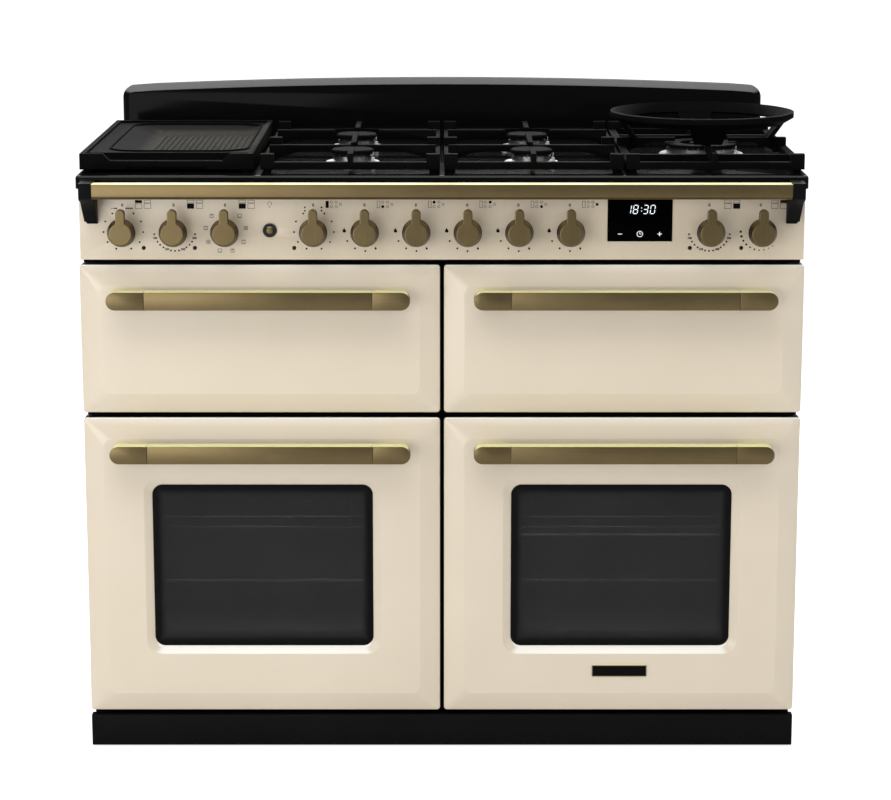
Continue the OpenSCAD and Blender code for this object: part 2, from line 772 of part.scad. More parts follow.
// One casting: a deep frame with a dipped front wall round a sloping bowl with a ribbed floor
module griddle() color(cast_black) place() translate([griddle_x, griddle_y, 0]) {
    w = griddle_w / 2;
    in = w - griddle_wall;
    difference() {
        block(-w, w, 0, griddle_d, hob_z + 5, pan_z);
        block(-in, in, griddle_wall, griddle_d - griddle_wall, pan_z - 4, pan_z + 1);
        block(-in, in, griddle_wall, 50, griddle_low - 3, pan_z);
        hull() {
            translate([0, 0, pan_z - 4]) linear_extrude(1)
                translate([10, griddle_d / 2 + 18]) rounded(2 * in - 34, griddle_d - 92, 44, $fn = 32);
            translate([0, 0, griddle_floor]) linear_extrude(1)
                translate([w / 4, griddle_d / 2 + 16]) rounded(1.24 * w, griddle_d - 190, 12, $fn = 32);
        }
        slab(-eps, griddle_wall + eps) polygon([[-w + 34, pan_z + 1], [-w + 46, griddle_low],
            [w - 46, griddle_low], [w - 34, pan_z + 1]]);
        block(-w / 2 + 5, w / 2 - 5, -eps, griddle_wall, hob_z + 4, hob_z + 9);
    }
    for (x = [w / 4 - 0.62 * w + rib_pitch : rib_pitch : w / 4 + 0.62 * w - rib_pitch])
        block(x - 1.5, x + 1.5, 120, griddle_d - 90, griddle_floor - eps, griddle_floor + 2);
    for (s = sides, y = [12, griddle_d - 12])
        rod_z(hob_z + rest_gap, hob_z + 5 + eps, s * (w - 12), y, 14);
}

// ---- Inside the ovens ----

rack_front = cavity_y + 30;
rack_back = cover_y - 12;
rack_x = oven_w / 2 - rack_gap;
rung_x = rack_x - 3.5;
shelf_x = rack_x - wire_d - 0.2;
shelf_level = oven_base + shelf_low;
rung_pitch = (shelf_high - shelf_low) / 2;

module shelf_runners() color(steel) place()
    for (o = sides, s = sides) translate([o * door_x, 0, 0]) {
        for (y = [rack_front + 20, rack_back - 20]) {
            rod_z(oven_base + 30, oven_base + oven_h - 30, s * rack_x, y, wire_d);
            for (z = [oven_base + 34, oven_base + oven_h - 34]) translate([s * (rack_x + rack_gap / 2), 0, 0])
                rod_x(-rack_gap / 2, rack_gap / 2, y, z, wire_d);
        }
        for (i = [-1 : 4])
            rod_y(rack_front, rack_back, s * rung_x, shelf_level - wire_d - 0.1 + i * rung_pitch, wire_d);
    }

// A wire shelf on its side rods, with a low rail along its back; the wires are eight-sided
module shelf(z) {
    $fn = 8;
    for (s = sides) rod_y(rack_front, rack_back, s * shelf_x, z, wire_d);
    for (y = [rack_front + wire_d, rack_back - wire_d]) rod_x(-shelf_x, shelf_x, y, z, wire_d);
    for (i = [1 : shelf_wires]) translate([shelf_x * (2 * i / (shelf_wires + 1) - 1), 0, 0])
        rod_y(rack_front + 2, rack_back - 2, 0, z + wire_d / 2, wire_d - 1);
    rod_x(-shelf_x, shelf_x, rack_back - wire_d, z + 18, wire_d);
    for (s = sides) rod_z(z, z + 18, s * (shelf_x - wire_d), rack_back - wire_d, wire_d - 1);
}

module oven_shelves() color(steel) place() {
    translate([-door_x, 0, 0]) shelf(shelf_level);
    for (h = [shelf_low, shelf_high]) translate([door_x, 0, 0]) shelf(oven_base + h);
}

cover_hole_d = 14;
cover_pitch = 24;

module fan_covers() color(enamel_grey) place()
    for (s = sides) translate([s * door_x, 0, fan_level]) difference() {
        block(-cover_w / 2, cover_w / 2, cover_y - sheet, cavity_back, -cover_w / 2, cover_w / 2);
        block(-cover_w / 2 + sheet, cover_w / 2 - sheet, cover_y, cavity_back + eps,
            -cover_w / 2 + sheet, cover_w / 2 - sheet);
        for (x = [-2 : 2], z = [-2 : 2])
            rod_y(cover_y - 2 * sheet, cover_y + sheet, x * cover_pitch, z * cover_pitch, cover_hole_d);
    }

module fan(x) {
    translate([x, fan_y, fan_level]) {
        rod_y(-fan_t / 2, fan_t / 2, 0, 0, fan_hub_d);
        rod_y(fan_t / 2 - 1.5, fan_t / 2, 0, 0, fan_d - 20);
        for (a = [0 : 30 : 330]) rotate([0, a, 0])
            block(fan_hub_d / 2 - 1, fan_d / 2, -fan_t / 2, fan_t / 2 - 0.2, -0.8, 0.8);
        rod_y(0, cavity_back - fan_y + sheet + 30, 0, 0, fan_shaft_d);
    }
}

module fan_left() color(steel) place() fan(-door_x);

module fan_right() color(steel) place() fan(door_x);

module fan_motors() color(steel) place()
    for (s = sides) translate([s * door_x, cavity_back + sheet, fan_level]) difference() {
        rod_y(0, motor_t, 0, 0, motor_d);
        rod_y(-eps, 32, 0, 0, fan_shaft_d + 2 * pin_play);
    }

element_d = 7;
lead_d = element_d - 1;
lead_x = 20;
ring_r = fan_d / 2 + 15;
grill_level = upper_base + upper_h - 16;
grill_rods = [-150, -90, -30, 30, 90, 150];
grill_front_y = cavity_y + 60;
grill_back_y = cavity_back - 110;

// A ring round each fan, and a row of rods under the roof of the grill chamber
module heating_elements() color(steel) place() {
    for (s = sides) translate([s * door_x, fan_y, fan_level]) {
        rotate([90, 0, 0]) rotate_extrude() translate([ring_r, 0]) circle(d = element_d);
        for (c = sides)
            rod_y(0, cavity_back - fan_y, c * lead_x, -sqrt(pow(ring_r, 2) - pow(lead_x, 2)), lead_d);
    }
    translate([-door_x, 0, grill_level]) {
        for (i = [0 : 5])
            rod_y(grill_front_y, i % 5 == 0 ? cavity_back : grill_back_y, grill_rods[i], 0, element_d);
        for (i = [0 : 4]) {
            turn_y = i % 2 == 0 ? grill_front_y + element_d / 2 : grill_back_y - element_d / 2;
            rod_x(grill_rods[i], grill_rods[i + 1], turn_y, 0, lead_d);
        }
    }
}

// ---- Doors ----

liner_y = front_d;
pane_gap = 0.2;

// The pressed outer shell of a door or of a drawer front, centred on X and Z
module pressed_front(w, h) {
    difference() {
        hull() {
            slab(0, front_d) rounded(w, h, front_r, $fn = 32);
            slab(-field_out, 1 - field_out) rounded(w - 2 * bevel_w, h - 2 * bevel_w, field_r, $fn = 32);
        }
        hull() {
            slab(sheet, front_d + 1) rounded(w - 2 * sheet, h - 2 * sheet, front_r, $fn = 32);
            slab(sheet - field_out, 1 + sheet - field_out)
                rounded(w - 2 * bevel_w - sheet, h - 2 * bevel_w - sheet, field_r, $fn = 32);
        }
    }
}

module window_shape(grow = 0) {
    rounded(window_w + 2 * grow, window_h + 2 * grow, window_r + grow / 2, $fn = 32);
}

window_mid = door_z + window_z + window_h / 2;
door_mid = door_z + door_h / 2;

module ear_slots(y0, y1, top) {
    for (c = sides) block(c * hinge_x - ear_slot / 2, c * hinge_x + ear_slot / 2, y0, y1, door_z - 1, top);
}

module door_shell() {
    difference() {
        union() {
            translate([0, 0, door_mid]) pressed_front(door_w, door_h);
            translate([0, 0, window_mid])
                slab(0.5 - field_out, rim_d - field_out) window_shape(rim_w + sheet);
        }
        translate([0, 0, window_mid]) hull() {
            slab(-field_out - 1, -field_out) window_shape(rim_w);
            slab(rim_d - field_out, rim_d - field_out + 1) window_shape();
        }
        ear_slots(hinge_y - 7, front_d + 1, door_z + sheet + 1);
    }
}

module door_glass() {
    outer = rim_d - field_out + pane_gap;
    translate([0, 0, window_mid]) {
        slab(outer, outer + glass_t) window_shape(glass_lap);
        slab(liner_y - pane_gap - glass_t, liner_y - pane_gap) window_shape(glass_lap);
    }
}

module door_liner() {
    difference() {
        translate([0, 0, door_mid]) slab(liner_y, liner_y + sheet) rounded(door_w - 2, door_h - 2, front_r);
        translate([0, 0, window_mid]) slab(liner_y - 1, liner_y + sheet + 1) window_shape();
        ear_slots(liner_y - 1, liner_y + sheet + 1, hinge_level + 8);
    }
    for (c = sides) translate([c * hinge_x, 0, 0]) {
        for (k = sides) translate([k * (ear_slot + cheek_t) / 2, 0, 0])
            block(-cheek_t / 2, cheek_t / 2, hinge_y - 7, liner_y + eps,
                door_z + sheet + 1.5, hinge_level + 14);
        rod_x(-ear_slot / 2 - cheek_t, ear_slot / 2 + cheek_t, hinge_y, hinge_level, hinge_pin_d);
    }
}

module handle(top_z) {
    post_h = handle_h - 2 * handle_inset;
    translate([0, 0, top_z - handle_drop]) {
        slab(-handle_reach, handle_t - handle_reach) rounded(handle_l, handle_h, handle_h / 2 - eps);
        for (s = sides) translate([s * (handle_l - handle_end) / 2, 0, 0])
            slab(handle_t - handle_reach - eps, -field_out)
                rounded(handle_end - 2 * handle_inset, post_h, post_h / 2 - eps);
    }
}

module door_shell_left() color(cream) place() translate([-door_x, 0, 0]) door_shell();
module door_shell_right() color(cream) place() translate([door_x, 0, 0]) door_shell();
module door_glass_left() color(pane_grey) place() translate([-door_x, 0, 0]) door_glass();
module door_glass_right() color(pane_grey) place() translate([door_x, 0, 0]) door_glass();
module door_liner_left() color(enamel_grey) place() translate([-door_x, 0, 0]) door_liner();
module door_liner_right() color(enamel_grey) place() translate([door_x, 0, 0]) door_liner();
module door_handle_left() color(brass) place() translate([-door_x, 0, 0]) handle(door_z + door_h);
module door_handle_right() color(brass) place() translate([door_x, 0, 0]) handle(door_z + door_h);

// ---- Grill and proving drawer ----

rail_front = front_d + sheet;
rail_back = cavity_y + runner_l - 6;
rail_top = rail_level + rail_height;

module slide_front() {
    translate([0, 0, drawer_z + drawer_h / 2]) {
        pressed_front(door_w, drawer_h);
        slab(front_d, front_d + sheet) rounded(door_w - 2, drawer_h - 2, front_r);
    }
}

// The fixed channels on the walls of the two chambers
module drawer_runners() color(steel) place() {
    wall = oven_w / 2;
    low = rail_level - rail_play;
    high = rail_top + rail_play;
    for (o = sides, s = sides) translate([o * door_x, cavity_y + 4, 0]) rotate([90, 0, 0]) mirror([0, 0, 1])
        linear_extrude(runner_l) polygon([for (p = [[wall, low - sheet], [wall, high + sheet],
            [rail_side + 1, high + sheet], [rail_side + 1, high], [rail_side + rail_w + rail_play, high],
            [rail_side + rail_w + rail_play, low], [rail_side + 1, low], [rail_side + 1, low - sheet]])
            [s * p[0], p[1]]]);
}

module moving_rail(s) {
    block(s * (rail_side + rail_w / 2) - rail_w / 2, s * (rail_side + rail_w / 2) + rail_w / 2,
        rail_front, rail_back, rail_level, rail_top);
}

ledge_w = 12;
ledge_t = 3;
pan_seat = rail_level + ledge_t + rest_gap;
pan_t = 1.5;
grill_pan_depth = 28;
trivet_rods = 14;
pan_lip = 8;

module grill_pan() color(enamel_grey) place() translate([-door_x, 0, 0]) {
    in = rail_side - ledge_w;
    pan_front = rail_front + 34;
    for (s = sides) {
        moving_rail(s);
        translate([s * (rail_side - ledge_w / 2), 0, 0])
            block(-ledge_w / 2 - eps, ledge_w / 2 + eps, rail_front, rail_back,
                rail_level, rail_level + ledge_t);
    }
    difference() {
        union() {
            block(-in + 1, in - 1, pan_front, rail_back - 10, rail_level - grill_pan_depth, pan_seat);
            block(-in - pan_lip, in + pan_lip, pan_front - pan_lip, rail_back - 4,
                pan_seat - eps, pan_seat + pan_t);
        }
        block(-in + 1 + pan_t, in - 1 - pan_t, pan_front + pan_t, rail_back - 10 - pan_t,
            rail_level - grill_pan_depth + pan_t, rail_level + 10);
    }
    trivet_z = pan_seat + pan_t + wire_d / 2 + 0.1;
    trivet_pitch = (rail_back - pan_front - 24) / trivet_rods;
    for (s = sides) rod_y(pan_front, rail_back - 12, s * (in + 2), trivet_z, wire_d);
    for (i = [0 : trivet_rods])
        rod_x(-in - 2, in + 2, pan_front + 6 + i * trivet_pitch, trivet_z, wire_d - 1);
}

box_h = 105;
box_z = upper_base + 8;

module drawer_box() color(steel) place() translate([door_x, 0, 0]) {
    difference() {
        block(-rail_side - eps, rail_side + eps, rail_front, rail_back, box_z, box_z + box_h);
        block(-rail_side + pan_t, rail_side - pan_t, rail_front + pan_t, rail_back - pan_t,
            box_z + pan_t, box_z + box_h + 1);
    }
    for (s = sides) moving_rail(s);
}

module grill_front() color(cream) place() translate([-door_x, 0, 0]) slide_front();
module drawer_front() color(cream) place() translate([door_x, 0, 0]) slide_front();
module grill_handle() color(brass) place() translate([-door_x, 0, 0]) handle(drawer_z + drawer_h);
module drawer_handle() color(brass) place() translate([door_x, 0, 0]) handle(drawer_z + drawer_h);

// ---- Knobs ----

knob_rim_out = knob_out - knob_slope;
knob_rim_t = 3;

module knob(i) {
    color(brass) place() translate([knob_places[i], 0, knob_level]) {
        rotate([90, 0, 0]) rotate_extrude() polygon([[0, 1.2], [knob_stem_d / 2, 1.2],
            [knob_stem_d / 2, knob_rim_out - 8], [knob_d / 2, knob_rim_out - knob_rim_t],
            [knob_d / 2, knob_rim_out], [knob_face_d / 2, knob_out], [0, knob_out]]);
        slab(-knob_out, lever_t - knob_out) {
            translate([-lever_w / 2, 0]) square([lever_w, lever_l - lever_w / 2]);
            translate([0, lever_l - lever_w / 2]) circle(d = lever_w);
        }
        rod_y(-knob_rim_t, switch_y + spindle_grip, 0, 0, spindle_d);
    }
}

module knob_1() knob(0);
module knob_2() knob(1);
module knob_3() knob(2);
module knob_4() knob(3);
module knob_5() knob(4);
module knob_6() knob(5);
module knob_7() knob(6);
module knob_8() knob(7);
module knob_9() knob(8);
module knob_10() knob(9);
module knob_11() knob(10);

side_panels();
back_panel();
base_frame();
front_frame();
oven_cavities();
upper_chambers();
control_panel();
clock_display();
hob_tray();
rear_upstand();
handrail_bar();
handrail_brackets();
plinth();
levelling_feet();
rear_rollers();
burner_bases();
burner_heads();
burner_caps();
griddle();
pan_support_left();
pan_support_centre();
pan_support_right();
wok_cradle();
shelf_runners();
oven_shelves();
fan_covers();
fan_left();
fan_right();
fan_motors();
heating_elements();
gas_rail();
switch_bodies();
terminal_box();
drawer_runners();
door_shell_left();
door_shell_right();
door_glass_left();
door_glass_right();
door_liner_left();
door_liner_right();
door_handle_left();
door_handle_right();
grill_front();
grill_pan();
grill_handle();
drawer_front();
drawer_box();
drawer_handle();
light_button();
knob_1();
knob_2();
knob_3();
knob_4();
knob_5();
knob_6();
knob_7();
knob_8();
knob_9();
knob_10();
knob_11();
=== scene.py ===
# %% [markdown]
# # A range cooker with two ovens, dressed for its portrait
# The cooker arrives as a finished set of solids: cabinet, doors, drawers, knobs, hob and everything behind
# them. This lesson gives each piece its finish, softens the edges that a press or a casting would soften,
# and adds the small things that are printed, clipped or glued on. The frame is loaded first, and its box is
# kept, because nothing that follows may make the cooker bigger than it is.

# %% Load the frame
import json
import math
import bmesh
import bpy
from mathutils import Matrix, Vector


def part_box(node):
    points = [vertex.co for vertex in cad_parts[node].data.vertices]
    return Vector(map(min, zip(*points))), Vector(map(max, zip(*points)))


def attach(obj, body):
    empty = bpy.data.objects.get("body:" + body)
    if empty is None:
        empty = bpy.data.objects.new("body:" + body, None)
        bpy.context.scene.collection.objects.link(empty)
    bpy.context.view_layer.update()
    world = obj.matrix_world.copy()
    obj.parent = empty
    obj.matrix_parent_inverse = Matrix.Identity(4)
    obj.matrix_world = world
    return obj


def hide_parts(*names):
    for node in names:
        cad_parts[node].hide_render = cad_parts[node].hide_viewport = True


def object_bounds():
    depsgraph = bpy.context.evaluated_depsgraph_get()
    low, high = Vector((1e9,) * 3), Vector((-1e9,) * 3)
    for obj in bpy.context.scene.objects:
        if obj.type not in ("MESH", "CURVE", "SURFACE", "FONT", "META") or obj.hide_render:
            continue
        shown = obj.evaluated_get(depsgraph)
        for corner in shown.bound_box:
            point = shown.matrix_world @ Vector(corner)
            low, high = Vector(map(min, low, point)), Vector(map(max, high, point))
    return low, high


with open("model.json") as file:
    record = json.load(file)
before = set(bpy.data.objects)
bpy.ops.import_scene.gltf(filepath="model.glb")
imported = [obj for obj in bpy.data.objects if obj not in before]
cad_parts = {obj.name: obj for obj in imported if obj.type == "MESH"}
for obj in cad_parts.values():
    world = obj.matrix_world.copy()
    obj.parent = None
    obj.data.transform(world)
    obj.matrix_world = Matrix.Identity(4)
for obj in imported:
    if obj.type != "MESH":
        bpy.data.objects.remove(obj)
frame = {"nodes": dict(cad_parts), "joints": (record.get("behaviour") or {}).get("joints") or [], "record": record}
cad_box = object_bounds()
bodies = frame["record"]["behaviour"]["bodies"]
body_of = {node: body for body, nodes in bodies.items() for node in nodes}
slot_of = {part["node"]: part["material_slot"] for part in frame["record"]["subparts"]}

# %% [markdown]
# ## Measuring from the doors
# A fitter measures a cooker in millimetres from the plane of its doors, so the helpers here do the same:
# `at` turns such a place into metres in the frame. The door plane itself is read from the control panel,
# and the knobs' places are read from the joints they turn on, so no number is written down twice.

# %% Places
MM = 0.001
DOOR_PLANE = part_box("control_panel")[0].y
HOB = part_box("hob_tray")[1].z / MM


def at(x, y, z):
    return Vector((x * MM, DOOR_PLANE + y * MM, z * MM))


def local_box(node):
    """A node's box, its low and its high corner, in millimetres from the door plane."""
    return [(corner - Vector((0, DOOR_PLANE, 0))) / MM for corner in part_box(node)]


def middle(node):
    low, high = local_box(node)
    return (low + high) / 2


knob_places = {}
for joint in frame["joints"]:
    if joint["name"].startswith("knob_"):
        knob_places[int(joint["name"].split("_")[1])] = Vector(joint["pos_m"]) / MM
KNOB_Z = knob_places[1].z
print("hob at", round(HOB), "knobs at", round(KNOB_Z), "x", [round(p.x, 1) for p in knob_places.values()])

# %% [markdown]
# ## The camera
# The picture was taken from straight ahead, a little above the hob, with a long lens: the cooker's sides
# hardly converge. The lens and the height come from the straight edges of the cabinet, and a tiny sideways
# shift puts the lens's axis where the picture has it. Depth of field stays off, so that every mark is crisp.

# %% Camera
LENS, SIDE_SHIFT = 109.95, 0.00392
STAND, TILT = (0.0, -4.33597, 1.40841), 78.212

camera_data = bpy.data.cameras.new("portrait_lens")
camera_data.sensor_width = 36.0
camera_data.lens = LENS
camera_data.shift_x = SIDE_SHIFT
camera = bpy.data.objects.new("portrait_camera", camera_data)
camera.location = STAND
camera.rotation_euler = (math.radians(TILT), 0.0, 0.0)
bpy.context.scene.collection.objects.link(camera)
bpy.context.scene.camera = camera
bpy.context.scene.view_settings.view_transform = "Standard"
print("camera", tuple(round(v, 3) for v in camera.location))

# %% [markdown]
# ## Studio light
# Enamel and brass want big, soft lamps: a small lamp would leave a hot dot on every curve. One wide lamp
# stands in front on the left, low enough to look under the handrail, a second hangs high and picks out the
# upper slopes of the doors, a weak one fills from the right, and a long one behind draws the bright lines
# along the tops of the handles. The white surround is only what the camera and the glass see: polished
# pieces get a dimmer one to reflect, and a dark screen stands behind the cooker, so black stays black. A
# narrow lamp over each oven's mouth shines down on the front wires of the shelves.

# %% Lamps and surround
def soft_lamp(name, place, target, size, power):
    data = bpy.data.lights.new(name, "AREA")
    data.shape = "RECTANGLE"
    data.size, data.size_y = size
    data.energy = power
    lamp = bpy.data.objects.new(name, data)
    lamp.location = place
    lamp.rotation_euler = (Vector(target) - Vector(place)).to_track_quat("-Z", "Y").to_euler()
    bpy.context.scene.collection.objects.link(lamp)
    return lamp


soft_lamp("front_lamp", (-1.9, -3.2, 0.78), (0, 0, 0.4), (2.4, 1.6), 37)
soft_lamp("side_lamp", (2.8, -2.2, 1.6), (0, 0, 0.5), (1.6, 2.0), 11)
soft_lamp("high_lamp", (-0.5, -2.0, 3.3), (0, -0.2, 0.5), (3.0, 1.3), 30)
soft_lamp("back_lamp", (0.0, 1.9, 2.1), (0, -0.2, 0.8), (3.4, 0.9), 66)
soft_lamp("top_lamp", (0.0, -0.2, 3.4), (0, -0.2, 0.5), (3.0, 1.4), 26)

world = bpy.data.worlds.new("studio")
bpy.context.scene.world = world
world.use_nodes = True
tree = world.node_tree
tree.nodes.clear()
SEEN, PLAIN = 0.58, 0.42
rays = tree.nodes.new("ShaderNodeLightPath")
direction = tree.nodes.new("ShaderNodeSeparateXYZ")
tree.links.new(tree.nodes.new("ShaderNodeTexCoord").outputs["Generated"], direction.inputs[0])
screen = tree.nodes.new("ShaderNodeMapRange")
for name, value in (("From Min", -0.1), ("From Max", 0.4), ("To Min", -0.12), ("To Max", -0.37)):
    screen.inputs[name].default_value = value
tree.links.new(direction.outputs["Y"], screen.inputs["Value"])
backdrop = tree.nodes.new("ShaderNodeBackground")
backdrop.inputs["Color"].default_value = (1.0, 1.0, 1.0, 1.0)
output = tree.nodes.new("ShaderNodeOutputWorld")
strength = None
for ray in ("Is Camera Ray", "Is Transmission Ray", "Is Glossy Ray"):
    step = tree.nodes.new("ShaderNodeMath")
    step.operation = "MULTIPLY_ADD"
    tree.links.new(rays.outputs[ray], step.inputs[0])
    step.inputs[1].default_value = SEEN
    if "Glossy" in ray:
        tree.links.new(screen.outputs["Result"], step.inputs[1])
    step.inputs[2].default_value = PLAIN
    if strength:
        tree.links.new(strength, step.inputs[2])
    strength = step.outputs[0]
tree.links.new(strength, backdrop.inputs["Strength"])
tree.links.new(backdrop.outputs["Background"], output.inputs["Surface"])
for side in ("left", "right"):
    low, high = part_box(f"door_glass_{side}")
    inner = ((low.x + high.x) / 2, high.y + 34 * MM, high.z + 22 * MM)
    inside = soft_lamp(f"oven_light_{side}", inner, (inner[0], high.y + 70 * MM, low.z), (0.36, 0.03), 6)
    inside.data.spread = math.radians(80)

# %% [markdown]
# ## Writing materials as sums
# A node tree is easier to read as arithmetic than as a list of wires. `Shade` wraps one socket, so that
# `0.3 + 0.1 * grain` adds the Math nodes by itself, and `Finish` owns one material: its `node` method
# makes any other node from its settings and its inputs. Colours are mixed with Mix nodes, because a Math
# node would turn them grey.

# %% The material toolkit
class Shade:
    def __init__(self, finish, socket):
        self.finish, self.socket = finish, socket

    def _math(self, operation, first, second):
        return self.finish.node("Math", {"operation": operation}, {0: first, 1: second})

    def __add__(self, other):
        return self._math("ADD", self, other)

    def __sub__(self, other):
        return self._math("SUBTRACT", self, other)

    def __rsub__(self, other):
        return self._math("SUBTRACT", other, self)

    def __mul__(self, other):
        return self._math("MULTIPLY", self, other)

    def above(self, edge, soft):
        settings = {"clamp": True, "interpolation_type": "SMOOTHSTEP"}
        places = {"Value": self, "From Min": edge - soft, "From Max": edge + soft}
        return self.finish.node("MapRange", settings, places)

    def larger(self, other):
        return self._math("MAXIMUM", self, other)

    def size(self):
        return self._math("ABSOLUTE", self, 0.0)

    __radd__ = __add__
    __rmul__ = __mul__


class Finish:
    def __init__(self, name, **sockets):
        self.material = bpy.data.materials.new(name)
        self.material.use_nodes = True
        self.tree = self.material.node_tree
        self.tree.nodes.clear()
        self.shader = self.tree.nodes.new("ShaderNodeBsdfPrincipled")
        output = self.tree.nodes.new("ShaderNodeOutputMaterial")
        self.tree.links.new(self.shader.outputs["BSDF"], output.inputs["Surface"])
        self.place = Shade(self, self.tree.nodes.new("ShaderNodeTexCoord").outputs["Object"])
        self.set(**sockets)

    def set(self, **sockets):
        for name, value in sockets.items():
            self._fill(self.shader.inputs[name.replace("_", " ")], value)

    def _fill(self, socket, value):
        if isinstance(value, Shade):
            self.tree.links.new(value.socket, socket)
        elif isinstance(value, tuple) and socket.type == "RGBA" and len(value) == 3:
            socket.default_value = (*value, 1.0)
        else:
            socket.default_value = value

    def node(self, kind, settings=None, sockets=None, out=0):
        made = self.tree.nodes.new("ShaderNode" + kind)
        for name, value in (settings or {}).items():
            setattr(made, name, value)
        for name, value in (sockets or {}).items():
            self._fill(made.inputs[name], value)
        return Shade(self, made.outputs[out])

    def axis(self, number, source="Object"):
        """One coordinate of a place (Object) or of the way a face looks (Normal): 0 is X, 2 is Z."""
        vector = self.node("TexCoord", out=1) if source == "Normal" else self.place
        return self.node("SeparateXYZ", None, {"Vector": vector}, out=number)

    def stretched(self, scale):
        return self.node("Mapping", None, {"Vector": self.place, "Scale": scale})

    def noise(self, scale, detail=2.0, rough=0.5, stretch=(1.0, 1.0, 1.0)):
        values = {"Vector": self.stretched(stretch), "Scale": scale, "Detail": detail, "Roughness": rough}
        return self.node("TexNoise", {"noise_dimensions": "3D"}, values)

    def blend(self, factor, low, high):
        sockets = {"Factor": factor, 6: low, 7: high}
        return self.node("Mix", {"data_type": "RGBA"}, sockets, out=2)

    def bump(self, height, depth, strength=1.0):
        sockets = {"Height": height, "Distance": depth, "Strength": strength}
        self.set(Normal=self.node("Bump", None, sockets))


finishes = {}
print("toolkit ready")

# %% [markdown]
# ## Cream enamel
# Vitreous enamel is a coloured glass fused on to pressed steel. It is smooth and glossy, but a close look
# shows a faint orange peel, and the colour thins a touch where it ran. A clear coat over a soft base gives
# both the deep colour and the sharp window of light on top. Behind the front edge the returns are painted
# near-black, as painted shade for the dark gaps between the fronts. Ledges that look up get a paler cream,
# a painted highlight, and the black gets a grey band over rolled edges, a painted sheen, brighter on the
# upstand. The panel's coat is brushed before it is fired, so it carries very fine upright lines.

# %% Enamels
GAP_SHADE_FROM = 2.6  # millimetres behind the door plane, where the cream stops
BAND_ABOVE_HOB = 30  # millimetres: only the upstand rises past this


def cream_enamel(name, brushed):
    enamel = Finish(name, Roughness=0.36, Coat_Roughness=0.16, IOR=1.5)
    cloud = enamel.noise(7.0, 3.0)
    peel = enamel.noise(420.0, 2.0)
    tone = cloud.above(0.5, 0.3)
    cream = enamel.blend(tone, (0.780, 0.682, 0.538), (0.806, 0.708, 0.562))
    # Behind the front edge the colour turns near-black: painted shade, so the gaps between the fronts read dark.
    gap_shade = enamel.axis(1).above(DOOR_PLANE + GAP_SHADE_FROM * MM, 0.2 * MM)
    # Faces that look up get a paler cream: a painted highlight for the light from above.
    painted_top_light = enamel.axis(2, "Normal").above(0.44, 0.06)
    cream = enamel.blend(painted_top_light, cream, (0.98, 0.95, 0.86))
    enamel.set(Base_Color=enamel.blend(gap_shade, cream, (0.004, 0.004, 0.004)), Coat_Weight=0.32 - 0.32 * gap_shade)
    if brushed:
        lines = enamel.noise(1.0, 2.0, 0.6, (1500.0, 1500.0, 18.0))
        shade = (lines - 0.5) * 0.9 + tone
        enamel.set(Base_Color=enamel.blend(shade, (0.700, 0.600, 0.462), (0.780, 0.672, 0.520)))
        enamel.set(Roughness=0.30 + 0.12 * lines, Coat_Weight=0.1)
        enamel.bump(lines, 0.00003, 0.25)
    else:
        enamel.set(Roughness=0.33 + 0.05 * cloud)
        enamel.bump(peel, 0.00002, 0.30)
    return enamel.material


finishes["cream_enamel"] = cream_enamel("cream_enamel_pressed", False)
finishes["cream_panel"] = cream_enamel("cream_enamel_panel", True)

black = Finish("gloss_black_enamel", IOR=1.5, Specular_IOR_Level=0.045)
dust = black.noise(900.0, 1.0).above(0.72, 0.02)
film = black.noise(5.0, 4.0)
# Faces half turned up, on rolled edges and chamfers, get a grey band: a painted sheen standing in for the lamps'
# reflection, brighter above the hob on the upstand.
tilt = black.axis(2, "Normal")
edge_sheen = tilt.above(0.45, 0.10) - tilt.above(0.92, 0.04)
deep = black.blend(dust, (0.0036, 0.0036, 0.0039), (0.012, 0.012, 0.013))
raised = black.axis(2).above((HOB + BAND_ABOVE_HOB) * MM, 0.01)
painted_sheen = black.blend(raised, (0.050, 0.049, 0.048), (0.170, 0.166, 0.162))
black.set(Base_Color=black.blend(edge_sheen, deep, painted_sheen), Roughness=0.10 + 0.07 * film)
black.bump(black.noise(160.0, 2.0), 0.00003, 0.08)
finishes["gloss_black"] = black.material

grey = Finish("speckled_grey_enamel", IOR=1.5)
fleck = grey.noise(1300.0, 1.0).above(0.64, 0.03)
haze = grey.noise(9.0, 4.0)
tinted = grey.blend(haze, (0.030, 0.031, 0.034), (0.046, 0.047, 0.050))
grey.set(Base_Color=grey.blend(fleck, tinted, (0.16, 0.165, 0.175)), Roughness=0.26 + 0.16 * haze)
grey.bump(grey.noise(300.0, 2.0), 0.00004, 0.3)
finishes["grey_enamel"] = grey.material
print("enamels", list(finishes))

# %% [markdown]
# ## Antique brass
# The handles and the knobs are brass that has been darkened and then brushed along its length. Brushing
# leaves thousands of parallel scratches. A noise stretched along X draws them, and drives the colour, the
# roughness and a shallow bump together, so that the lines catch the light as one. A slow noise adds the
# uneven darkening. Faces that look up get a pale painted highlight and those that look down a painted
# shade, which the surface's own direction tells apart. The sides of the turned knobs are painted darker
# than their faces, as painted shade.

